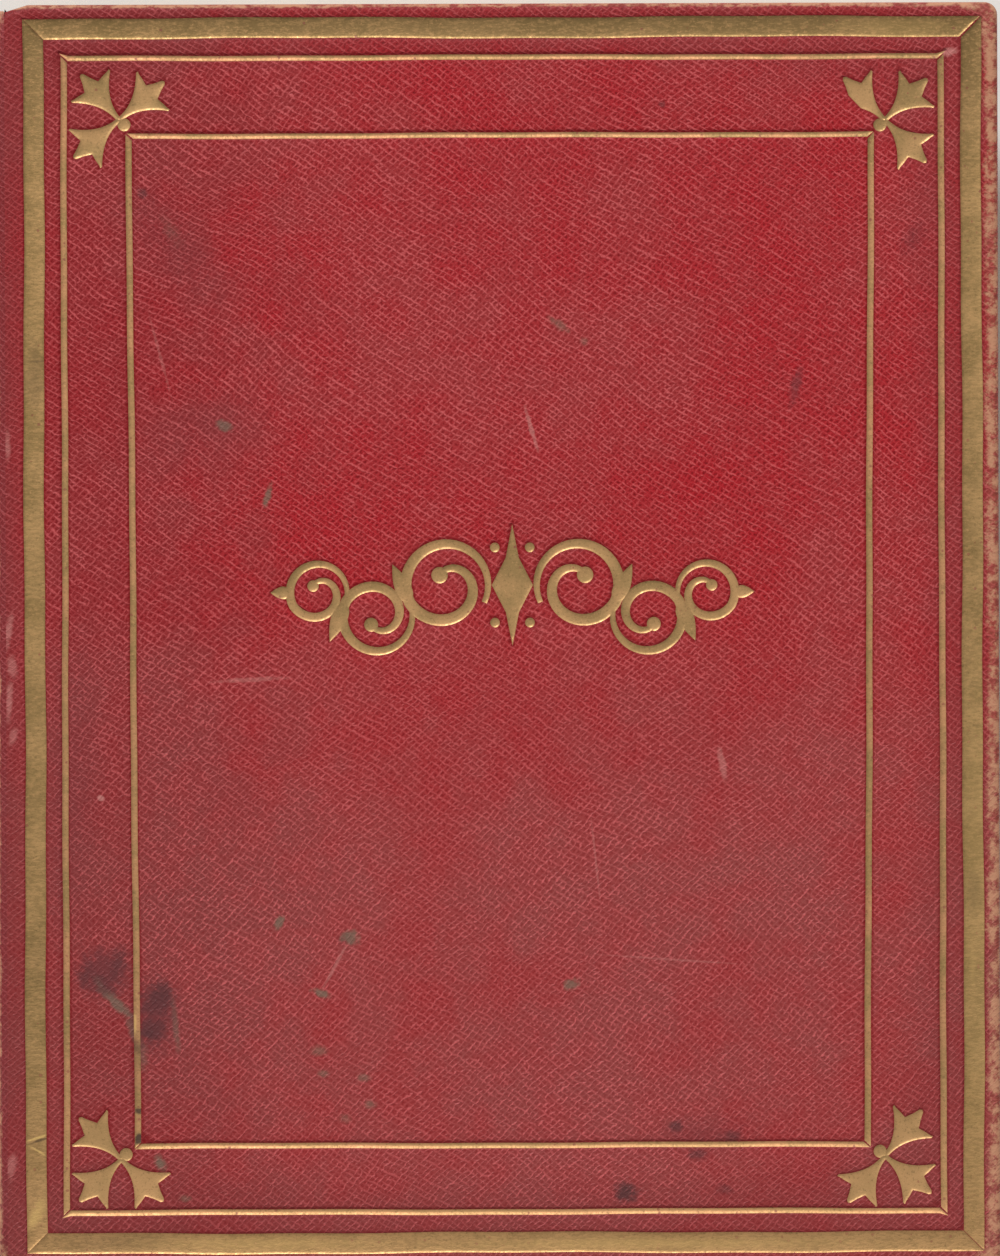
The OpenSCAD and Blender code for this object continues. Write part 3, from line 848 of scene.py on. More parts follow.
def marked(s: Surface, effects: Effects, colour: Socket, marks: Sequence[Mark],
           middle: Vertex) -> Socket:
    """Lays marks over a surface's colour.

    Args:
        s: the surface.
        effects: the shared effects.
        colour: the colour under the marks.
        marks: the marks.
        middle: the point that the marks are measured from.

    Returns:
        The colour with its marks.
    """
    if not marks:
        return colour
    g = s.graph
    ragged = g.math("SUBTRACT", g.noise(s.where, 1.6, 3.0, 0.65), 0.5)
    for kind in MarkKind:
        total: Any = 0.0
        for m in (m for m in marks if m.kind is kind):
            mask = s.effect(effects.mark, Centre=(middle[0] + m.x, middle[1] + m.y, 0.0),
                            Ragged=ragged, Turn=m.turn, Half_Length=m.half_length,
                            Half_Width=m.half_width, Soft=m.soft)["Mask"]
            total = g.math("MAXIMUM", total, g.times(mask, m.strength))
        if isinstance(total, Socket):
            colour = g.mix(total, colour, kind.value)
    return colour


@dataclass(frozen=True)
class EdgeReach:
    """How far wear runs in from each side of a piece, in millimetres."""

    spine: float
    fore: float
    tail: float
    head: float


@dataclass(frozen=True)
class LeatherFinish:
    """Red straight-grained goatskin, dyed, faded and rubbed."""

    name: str
    reach: EdgeReach
    marks: tuple[Mark, ...] = ()
    red: Colour = (168, 24, 34)
    faded: Colour = (144, 64, 62)
    deep: Colour = (114, 0, 8)
    # grain crests: rubbed dye with painted highlight
    ridge: Colour = (212, 102, 103)
    # darker tone toward the spine, also used for the painted shade along the edges
    darkening: Colour = (108, 46, 46)
    rubbed: Colour = (188, 136, 106)
    tail_fade: float = 0.55
    spine_fade: float = 0.36
    bevel_shade: float = 0.55
    ragged: float = 1.9
    side_wear: float = 0.4

    def material(self, effects: Effects, low: Vertex, high: Vertex, middle: Vertex = ORIGIN,
                 face: float | None = None) -> Material:
        """Builds the material.

        Args:
            effects: the shared effects.
            low: lowest corner of the piece that wears.
            high: its highest corner.
            middle: the point that the marks are measured from.
            face: height of the tooled face, or None where nothing is pressed into it.

        Returns:
            The material.
        """
        s = Surface(self.name, Specular_IOR_Level=0.17)
        g = s.graph
        across, along, up = g.place("ShaderNodeSeparateXYZ", {0: s.where}).outputs
        broad = s.effect(effects.mottle, Size=38.0)["Patch"]
        small = s.effect(effects.mottle, Size=8.0)["Patch"]
        rising = g.math("ADD", g.ramp(along, 50.0, -90.0, 0.05, 0.75), g.times(broad, 0.3))
        grain = s.effect(effects.crossed_grain, Rising_Share=rising)
        low_down = g.ramp(along, 30.0, -60.0, 0.0, self.tail_fade)
        fade = g.math("ADD", g.times(broad, 0.30), g.times(small, 0.24))
        fade = g.math("MINIMUM", g.math("ADD", fade, low_down), 1.0)
        colour = g.mix(fade, self.red, self.faded)
        dusky = g.ramp(g.math("SUBTRACT", across, g.times(small, 14.0)), -32.0, -80.0)
        by_spine = g.ramp(across, -84.0, -91.0, 1.0, 0.6)
        dusky = g.times(dusky, by_spine)
        colour = g.mix(g.times(dusky, self.spine_fade), colour, self.darkening)
        pits = g.math("MAXIMUM", grain["Pit"], g.ramp(grain["Pores"], 0.44, 0.26))
        deepened = g.times(pits, g.ramp(fade, 0.0, 1.0, 0.95, 0.5))
        colour = g.mix(deepened, colour, self.deep)
        # lighter grain crests: partly rubbed dye, partly painted highlight on the crests
        rubbed_and_lit_lines = g.ramp(grain["Pores"], 0.34, 0.62, 0.25, 1.0)
        lines = g.times(g.times(grain["Ridge"], rubbed_and_lit_lines), g.ramp(broad, 0.0, 1.0, 0.60, 0.85))
        lines = g.times(lines, g.ramp(along, 30.0, -60.0, 1.0, 0.9))
        lines = g.times(lines, by_spine)
        colour = g.mix(lines, colour, self.ridge)
        # painted shade on the pressed bevels beside the gold, partly scorching
        if face is not None:
            colour = self._bevels(g, colour, up, face)
        # painted shade: darkens the leather within about 12 mm of the edges, over the strip between the
        # band and the outer fillet
        painted_edge_shade = s.effect(effects.edge_wear, Low=low, High=high, Ragged=0.5,
                           Low_Reach=(7.0, 12.0, FAR), High_Reach=(12.0, 9.0, FAR))["Wear"]
        colour = g.mix(g.times(painted_edge_shade, 0.3), colour, self.darkening)
        colour = marked(s, effects, colour, self.marks, middle)
        wear = s.effect(effects.edge_wear, Low=low, High=high, Ragged=self.ragged,
                        Low_Reach=(self.reach.spine, self.reach.tail, FAR),
                        High_Reach=(self.reach.fore, self.reach.head, FAR))["Wear"]
        patchy = g.ramp(g.noise(s.where, 2.6, 4.0, 0.7), 0.60, 0.42, 0.15, 0.95)
        upright = g.math("ABSOLUTE", g.place("ShaderNodeSeparateXYZ", {0: s.facing}).outputs[2])
        arris = g.ramp(upright, 0.1, 0.6, self.side_wear, 1.0)
        wear = g.times(g.times(wear, patchy), arris)
        colour = g.mix(wear, colour, self.rubbed)
        rough = g.math("ADD", 0.52, g.times(g.math("SUBTRACT", pits, fade), 0.08))
        s.paint(colour, rough)
        smoothed = g.math("SUBTRACT", 1.0, g.times(wear, 0.6))
        s.bump(g.times(grain["Height"], smoothed), 0.10)
        return s.material

    def _bevels(self, g: Graph, colour: Socket, up: Socket, face: float) -> Socket:
        """Darkens the leather that the hot tools pressed down beside the gold: partly their scorching,
        partly painted shade on the bevels.

        Args:
            g: the material's graph.
            colour: the leather's colour.
            up: the height of each point.
            face: height of the tooled face.

        Returns:
            The colour with dark bevels.
        """
        depth = g.math("ABSOLUTE", g.math("SUBTRACT", up, face))
        pressed = g.times(g.ramp(depth, 0.07, 0.17), g.ramp(depth, 0.6, 0.42))
        return g.mix(g.times(pressed, self.bevel_shade), colour, self.deep)


GOLD_FLAWS_AND_HIGHLIGHTS = (
    # dark patches in the gold; the first is the painted shadow just below a crinkle's highlight
    *rows_of(MarkKind.DARK, (-92.8, -101.0, 2.2, 0.3, 18, 0.6), (-93.0, 52.0, 6.0, 2.0, 90, 0.25, 0.7),
             (-92.6, -65.0, 8.0, 2.2, 90, 0.1, 0.7), (-92.5, 55.0, 2.4, 0.3, 4, 0.45),
             (-73.2, -82.2, 1.6, 1.2, 0, 0.5, 0.6), (-72.7, -95.0, 0.9, 0.7, 0, 0.8),
             (-72.6, -100.6, 1.1, 0.9, 90, 0.85), (-90.0, 108.0, 1.2, 0.3, -45, 0.5),
             (-78.0, -121.6, 12.0, 2.2, 0, 0.2, 0.7), (94.6, -52.0, 4.0, 1.8, 90, 0.3, 0.7)),
    # painted highlights: on the crinkles at the band's lower left, and sheen along the band and fillet
    *rows_of(MarkKind.HIGHLIGHT, (-92.8, -100.3, 2.3, 0.3, 18, 0.9), (-92.7, -103.0, 2.2, 0.3, -30, 0.7),
             (-73.4, -77.6, 2.4, 0.5, 90, 0.6), (-93.2, -115.6, 3.4, 1.2, 62, 0.7, 0.7),
             (-48.0, -121.6, 20.0, 1.2, 0, 0.4, 0.9), (95.2, -62.0, 54.0, 4.0, 90, 0.15, 0.5),
             (80.0, 121.6, 12.0, 2.4, 0, 0.14, 0.5), (94.4, -66.0, 6.0, 1.0, 90, 0.3, 0.9),
             (30.0, -121.8, 34.0, 1.0, 0, 0.4, 0.9)),
    *rows_of(MarkKind.BRUISE, (-73.4, -88.0, 10.0, 1.4, 90, 0.2)),
)


@dataclass(frozen=True)
class GiltFinish:
    """Gold leaf pressed into leather, dull with age."""

    name: str
    gold: Colour = (192, 154, 103)
    dull: Colour = (164, 133, 85)
    # painted highlight and sheen on the gold
    bright: Colour = (232, 180, 124)
    # darker gold, also used for painted shade in creases and fine patches
    dark_gold: Colour = (112, 90, 56)
    bare: Colour = (124, 40, 40)
    flaws_and_highlights: tuple[Mark, ...] = ()
    rough: float = 0.48
    metallic: float = 0.9
    lost: float = 0.06
    creased: float = 0.4
    head_darkening: float = 0.1

    def material(self, effects: Effects, middle: Vertex = ORIGIN) -> Material:
        """Builds the material.

        Args:
            effects: the shared effects.
            middle: the point that the flaws and the painted highlights are measured from.

        Returns:
            The material.
        """
        s = Surface(self.name)
        g = s.graph
        along = g.place("ShaderNodeSeparateXYZ", {0: s.where}).outputs[1]
        patch = s.effect(effects.mottle, Size=9.0)["Patch"]
        fine = g.noise(s.where, 0.5, 3.0, 0.7)
        colour = g.mix(g.times(patch, 0.9), self.gold, self.dull)
        # darker toward the head
        colour = g.mix(g.ramp(along, 85.0, 122.0, 0.0, self.head_darkening), colour, self.dark_gold)
        # painted sheen: the gold grows brighter toward the tail
        colour = g.mix(g.ramp(along, -80.0, -120.0, 0.0, 0.42), colour, self.bright)
        # fine patches: the leaf's uneven tone with painted sheen and painted shade
        colour = g.mix(g.ramp(fine, 0.54, 0.72, 0.0, 0.5), colour, self.bright)
        colour = g.mix(g.ramp(fine, 0.48, 0.30, 0.0, 0.5), colour, self.dark_gold)
        stretched = g.vector("MULTIPLY", s.where, (0.4, 1.0, 1.0))
        creases = g.ramp(g.noise(stretched, 0.5, 2.0, 0.6), 0.35, 0.7)
        # painted highlight on the creases' crests and painted shade in their folds, over the bump that
        # raises them
        crease_light_and_shade = self.creased * 0.5
        colour = g.mix(g.ramp(creases, 0.5, 1.0, 0.0, crease_light_and_shade), colour, self.bright)
        colour = g.mix(g.ramp(creases, 0.45, 0.0, 0.0, crease_light_and_shade), colour, self.dark_gold)
        specks = s.effect(effects.specks, Spacing=1.3, Share=self.lost)["Mask"]
        worn = g.ramp(g.noise(s.where, 2.0, 4.0, 0.75), 0.66, 0.72, 0.0, 0.8)
        bare = g.math("MAXIMUM", g.times(specks, 0.6), worn)
        colour = g.mix(bare, colour, self.bare)
        # flaws of the gold, with painted highlights and shadow
        colour = marked(s, effects, colour, self.flaws_and_highlights, middle)
        s.paint(colour, g.ramp(fine, 0.3, 0.7, self.rough + 0.06, self.rough - 0.06))
        g.feed(s.shader.inputs["Metallic"], g.ramp(bare, 0.3, 0.7, self.metallic, 0.1))
        lower = g.ramp(along, -30.0, -70.0, 0.4, 1.0)
        relief = g.math("ADD", g.times(fine, 0.6), g.times(creases, g.times(lower, self.creased)))
        s.bump(relief, 0.04)
        return s.material


@dataclass(frozen=True)
class PaperFinish:
    """Glazed cream paper or plain card: cloudy fibres, toned with age, with a few brown spots."""

    name: str
    light: Colour = (236, 227, 200)
    toned: Colour = (214, 198, 160)
    spot: Colour = (172, 132, 84)
    rough: float = 0.5
    fibre_length: float = 0.5
    spots: float = 0.05
    relief: float = 0.02
    gilt_edges: bool = False
    gilding: Colour = (206, 166, 92)

    def material(self, effects: Effects) -> Material:
        """Builds the material.

        Args:
            effects: the shared effects.

        Returns:
            The material.
        """
        s = Surface(self.name, Specular_IOR_Level=0.4)
        g = s.graph
        fibre = s.effect(effects.fibre, Length=self.fibre_length)
        broad = s.effect(effects.mottle, Size=45.0)["Patch"]
        tone = g.math("ADD", g.times(fibre["Clouds"], 0.22), g.times(broad, 0.4))
        colour = g.mix(tone, self.light, self.toned)
        colour = g.mix(g.ramp(fibre["Threads"], 0.55, 0.75, 0.0, 0.22), colour, self.toned)
        foxing = s.effect(effects.specks, Spacing=6.0, Share=self.spots)["Mask"]
        colour = g.mix(g.times(foxing, 0.5), colour, self.spot)
        if self.gilt_edges:
            upright = g.place("ShaderNodeSeparateXYZ", {0: s.facing}).outputs[2]
            edge = g.ramp(g.math("ABSOLUTE", upright), 0.6, 0.4)
            rub = g.ramp(g.noise(s.where, 1.4, 3.0, 0.6), 0.35, 0.6, 0.9, 1.0)
            gilded = g.times(edge, rub)
            colour = g.mix(gilded, colour, self.gilding)
            g.feed(s.shader.inputs["Metallic"], g.times(gilded, 0.8))
        s.paint(colour, g.ramp(fibre["Threads"], 0.2, 0.8, self.rough - 0.06, self.rough + 0.08))
        s.bump(fibre["Threads"], self.relief)
        return s.material


@dataclass(frozen=True)
class BoardFinish:
    """Grey-brown pulp board with coarse dark fibres."""

    name: str
    light: Colour = (168, 154, 126)
    dark: Colour = (112, 100, 80)
    fleck: Colour = (70, 60, 48)

    def material(self, effects: Effects) -> Material:
        """Builds the material.

        Args:
            effects: the shared effects.

        Returns:
            The material.
        """
        s = Surface(self.name, Roughness=0.85)
        g = s.graph
        fibre = s.effect(effects.fibre, Length=1.2)
        layers = g.noise(g.vector("MULTIPLY", s.where, (0.1, 0.1, 4.0)), 1.0, 2.0)
        tone = g.math("ADD", g.times(fibre["Threads"], 0.5), g.times(layers, 0.5))
        colour = g.mix(g.ramp(tone, 0.35, 0.65), self.light, self.dark)
        flecks = s.effect(effects.specks, Spacing=1.6, Share=0.15)["Mask"]
        s.paint(g.mix(g.times(flecks, 0.5), colour, self.fleck))
        s.bump(fibre["Threads"], 0.08)
        return s.material


@dataclass(frozen=True)
class ClothFinish:
    """Plain woven cloth or twisted thread."""

    name: str
    light: Colour = (222, 214, 194)
    dark: Colour = (150, 138, 112)
    pitch: float = 0.45

    def material(self, effects: Effects) -> Material:
        """Builds the material.

        Args:
            effects: the shared effects.

        Returns:
            The material.
        """
        s = Surface(self.name, Roughness=0.82, Sheen_Weight=0.15)
        g = s.graph
        weave = s.effect(effects.weave, Pitch=self.pitch)
        soiled = s.effect(effects.mottle, Size=14.0)["Patch"]
        colour = g.mix(weave["Shade"], self.dark, self.light)
        s.paint(g.mix(g.times(soiled, 0.3), colour, self.dark))
        s.bump(weave["Height"], 0.12)
        return s.material


@dataclass(frozen=True)
class FloorFinish:
    """Plain pale studio floor."""

    name: str = "studio_floor"
    tone: Colour = (226, 224, 220)
    shade: Colour = (214, 212, 208)

    def material(self, effects: Effects) -> Material:
        """Builds the material.

        Args:
            effects: the shared effects.

        Returns:
            The material.
        """
        s = Surface(self.name, Roughness=0.9)
        g = s.graph
        haze = s.effect(effects.mottle, Size=400.0)["Patch"]
        s.paint(g.mix(g.times(haze, 0.2), self.tone, self.shade))
        return s.material


class Gilt(Enum):
    """The pieces of gold on a cover; the value is the solid that each stands for."""

    BAND = "front_gilt_band"
    OUTER = "front_outer_fillet"
    INNER = "front_inner_fillet"
    CORNERS = "front_corner_tools"
    ORNAMENT = "front_centre_ornament"


@dataclass(frozen=True)
class Impression:
    """One shape pressed into the leather, and the piece of gold that lies in it."""

    outline: Outline
    piece: Gilt
    slant: float = 0.0

    def tilt(self, points: np.ndarray) -> np.ndarray:
        """How much deeper each point lies for the slant of the floor toward the head."""
        middle = sum(p[1] for p in self.outline) / len(self.outline)
        return self.slant * (points[:, 1] - middle)


@dataclass(frozen=True)
class Inset:
    """How far a frame's outer line stands in from each side of the cover."""

    spine: float
    fore: float
    head: float
    tail: float
    lean: float = 0.0


@dataclass
class Tooling:
    """The plan of the frames, corner tools and ornament on a cover."""

    album: Album
    band: Inset = Inset(4.9, 3.4, 2.9, 2.9)
    band_w: float = 4.1
    fillet_gap: float = 3.4
    fillet_w: float = 1.25
    fillet_tip: float = 0.45
    fillet_slant: float = 0.2
    level_less: float = 0.2
    inner: Inset = Inset(25.4, 24.9, 26.0, 23.7, 1.2)
    mitre_gap: float = 0.16
    sprig_len: float = 11.9
    sprig_root: float = 0.45
    tool_out: tuple[Point, ...] = ((-1.3, 2.8), (2.2, 2.3), (2.8, -1.7), (-2.7, -1.9))
    tool_turn: tuple[float, ...] = (-5.0, -1.0, 6.0, 0.0)
    faint_leaf: tuple[int, int] = (1, 90)
    bead_r: float = 1.3
    bead_out: float = 1.4
    scroll_half_w: float = 48.5
    scroll_up: float = 10.0
    scroll_aside: float = 2.5

    def corners(self, inset: Inset, by: float) -> Outline:
        """Four corners of a frame's line.

        Args:
            inset: where the frame stands.
            by: how far in from its outer line.

        Returns:
            The corners from that at the spine and head, clockwise.
        """
        a = self.album
        x0, x1 = a.hinge_x + inset.spine + by, a.fore_x - inset.fore - by
        y0, y1 = inset.tail + by - a.half_h, a.half_h - inset.head - by
        return [(x0, y1), (x1, y1), (x1 - inset.lean, y0), (x0 + inset.lean, y0)]

    def strips(self, piece: Gilt, inset: Inset, start: float, width: float,
               tip: float = 0.0) -> list[Impression]:
        """The four mitred strips of a frame, a little uneven as a hand-held roll leaves them.

        Args:
            piece: the piece of gold that they form.
            inset: where the frame stands.
            start: how far in from there it begins.
            width: its width.
            tip: how far the points of the level strips run out past the corners.

        Returns:
            The strips.
        """
        outer, inner = self.corners(inset, start), self.corners(inset, start + width)
        found = []
        for i in range(4):
            j = (i + 1) % 4
            length = math.dist(outer[i], outer[j])
            dx, dy = ((outer[j][k] - outer[i][k]) / length * self.mitre_gap for k in (0, 1))
            ends = [(outer[i][0] + dx, outer[i][1] + dy), (outer[j][0] - dx, outer[j][1] - dy),
                    (inner[j][0] - dx, inner[j][1] - dy), (inner[i][0] + dx, inner[i][1] + dy)]
            if i % 2 == 0 and piece is not Gilt.BAND:
                ends = self._level_fillet(ends, math.copysign(1.0, dx), tip)
            sway = 0.02 * width + 0.05
            line = [self._swayed(p, sway, 1.7 * i + width) for p in divided(ends, 2.2)]
            slant = 0.0 if i % 2 or piece is Gilt.BAND else self.fillet_slant
            found.append(Impression(counter_clockwise(line), piece, slant))
        return found

    def _level_fillet(self, ends: Outline, way: float, tip: float) -> Outline:
        """Narrows a fillet's level strip from the tail and flares the ends of its outer line.

        Args:
            ends: its corners, those of the outer line first.
            way: 1 for the strip at the head, -1 for that at the tail.
            tip: how far its points run out.

        Returns:
            The strip's outline.
        """
        first, last, low, high = ends
        if way > 0:
            low, high = ((x, y + self.level_less) for x, y in (low, high))
        else:
            first, last = ((x, y + self.level_less) for x, y in (first, last))
        if not tip:
            return [first, last, low, high]
        flare = way * 3 * tip
        return [(first[0] - way * tip, first[1] + way * tip), (first[0] + flare, first[1]),
                (last[0] - flare, last[1]), (last[0] + way * tip, last[1] + way * tip), low, high]

    @staticmethod
    def _swayed(p: Point, amount: float, phase: float) -> Point:
        """Moves a point a little, smoothly along the cover."""
        return (p[0] + amount * (math.sin(p[1] / 17 + phase) + 0.5 * math.sin(p[1] / 5.3 + 2 * phase)),
                p[1] + amount * (math.sin(p[0] / 15 + phase) + 0.5 * math.sin(p[0] / 4.7 + 3 * phase)))

    def sprig(self, whole: bool = True) -> Outline:
        """One forked leaf of a corner tool, pointing along X.

        Args:
            whole: False for a leaf whose point to the left was never pressed.

        Returns:
            The leaf's outline.
        """
        n, side, notch = self.sprig_len, (0.73, 0.42), (0.72, 0.15)
        steps = [t / 14 for t in range(15)]
        half = [(n * side[0] * t, self.sprig_root + (n * side[1] - self.sprig_root) * t ** 2.2)
                for t in steps]
        half += [(n * (side[0] + 0.035), n * side[1] - 0.05), (n * (side[0] + 0.022), n * side[1] - 0.5),
                 (n * (notch[0] + 0.02), n * (notch[1] + 0.11)), (n * notch[0], n * notch[1]),
                 (n * (notch[0] + 0.13), n * (notch[1] - 0.065)), (n - 0.3, 0.45)]
        other = [(x, -y) for x, y in half[::-1]]
        if not whole:
            half = [p for p in half[:15] if p[0] < 0.45 * n] + half[-3:]
        return half + [(n, 0.0)] + other

    def corner_tools(self) -> list[Impression]:
        """Three leaves and a bead at each corner of the inner fillet.

        Returns:
            Their impressions.
        """
        found = []
        for i, corner in enumerate(self.corners(self.inner, 0.0)):
            out = self.tool_out[i]
            ways = (math.copysign(1, out[0]), math.copysign(1, out[1]))
            middle = (corner[0] + out[0], corner[1] + out[1])
            for turn in (-90, 0, 90):
                a = math.atan2(ways[1], ways[0]) + math.radians(turn + self.tool_turn[i])
                leaf = [(middle[0] + x * math.cos(a) - y * math.sin(a),
                         middle[1] + x * math.sin(a) + y * math.cos(a))
                        for x, y in self.sprig((i, turn) != self.faint_leaf)]
                found.append(Impression(counter_clockwise(divided(leaf, 0.7)), Gilt.CORNERS))
            back = self.bead_out / math.sqrt(2)
            bead = arc((middle[0] - ways[0] * back, middle[1] - ways[1] * back), self.bead_r, 0, 345, 23)
            found.append(Impression(bead, Gilt.CORNERS))
        return found

    def ornament(self) -> list[Impression]:
        """A lozenge leaf between beads, with three volutes and their drops to each side.

        Returns:
            Their impressions.
        """
        w = self.scroll_half_w
        radii = [w * (0.170 - 0.026 * k) for k in range(3)]
        tilts, starts, ways = (0, -24, 22), (205, 156, 202), (-1, 1, -1)
        centres: list[Point] = [(w * 0.27, 0.0)]
        for k in (1, 2):
            a, far = math.radians(tilts[k]), radii[k - 1] + radii[k]
            centres.append((centres[-1][0] + far * math.cos(a), centres[-1][1] + far * math.sin(a)))
        half: list[Outline] = []
        for k in range(3):
            path, widths = [], []
            for i in range(61):
                t = i / 60
                a = math.radians(starts[k] + ways[k] * 360 * 1.42 * t)
                r = radii[k] * (1 if t < 0.45 else 1 - 0.7 * (t - 0.45) / 0.55)
                path.append((centres[k][0] + r * math.cos(a), centres[k][1] + r * math.sin(a)))
                widths.append(w * (0.011 + 0.013 * math.sin(math.pi * t)) * (1 - 0.12 * k))
            half += [self._stroke(path, widths), arc(path[-1], radii[k] * 0.20, 0, 345, 23)]
        for k in (1, 2):
            a = math.radians(tilts[k])
            touch = (centres[k][0] - radii[k] * math.cos(a), centres[k][1] - radii[k] * math.sin(a))
            turn = tilts[k] + (90 if k == 1 else -90)
            half.append(self._drop(touch, turn, w * 0.17, w * 0.034))
        half.append(self._drop((centres[2][0] + radii[2], centres[2][1]), 0, w * 0.08, w * 0.026))
        a, b = w * 0.085, w * 0.25
        lozenge = [(a, 0), (a * 0.32, b * 0.45), (0, b), (-a * 0.32, b * 0.45), (-a, 0),
                   (-a * 0.32, -b * 0.45), (0, -b), (a * 0.32, -b * 0.45)]
        shapes = [divided(lozenge, 0.7)] + half + [[(-x, y) for x, y in line] for line in half]
        shapes += [arc((w * 0.072 * sx, w * 0.155 * sy), w * 0.02, 0, 340, 17)
                   for sx in (-1, 1) for sy in (-1, 1)]
        at = ((self.album.hinge_x + self.album.fore_x) / 2 + self.scroll_aside, self.scroll_up)
        return [Impression(counter_clockwise([(x + at[0], y + at[1]) for x, y in line]), Gilt.ORNAMENT)
                for line in shapes]

    @staticmethod
    def _stroke(path: Outline, widths: Sequence[float]) -> Outline:
        """The outline of a line whose width changes.

        Args:
            path: the line's middle.
            widths: half its width at each point.

        Returns:
            The closed outline.
        """
        p = np.asarray(path)
        ahead = np.gradient(p, axis=0)
        ahead /= np.linalg.norm(ahead, axis=1, keepdims=True)
        side = np.stack([-ahead[:, 1], ahead[:, 0]], axis=1) * np.asarray(widths)[:, None]
        return [tuple(q) for q in p + side] + [tuple(q) for q in (p - side)[::-1]]

    @staticmethod
    def _drop(root: Point, turn: float, length: float, width: float) -> Outline:
        """A drop that is round near its root and pointed at its end.

        Args:
            root: where it starts.
            turn: its direction in degrees.
            length: how long it is.
            width: how wide it is, about.

        Returns:
            The closed outline.
        """
        ts = [i / 12 for i in range(13)]
        half = [(length * t, width * 2.6 * math.sqrt(t) * (1 - t)) for t in ts]
        line = half + [(x, -y) for x, y in half[-2:0:-1]]
        c, s = math.cos(math.radians(turn)), math.sin(math.radians(turn))
        return [(root[0] + x * c - y * s, root[1] + x * s + y * c) for x, y in line]

    def all(self, side: Side) -> list[Impression]:
        """Every impression on a cover.

        Args:
            side: which cover; the back one has the frames alone.

        Returns:
            The impressions.
        """
        found = self.strips(Gilt.BAND, self.band, 0.0, self.band_w)
        found += self.strips(Gilt.OUTER, self.band, self.band_w + self.fillet_gap, self.fillet_w,
                             self.fillet_tip)
        found += self.strips(Gilt.INNER, self.inner, 0.0, self.fillet_w)
        if side is Side.FRONT:
            found += self.corner_tools() + self.ornament()
        return found


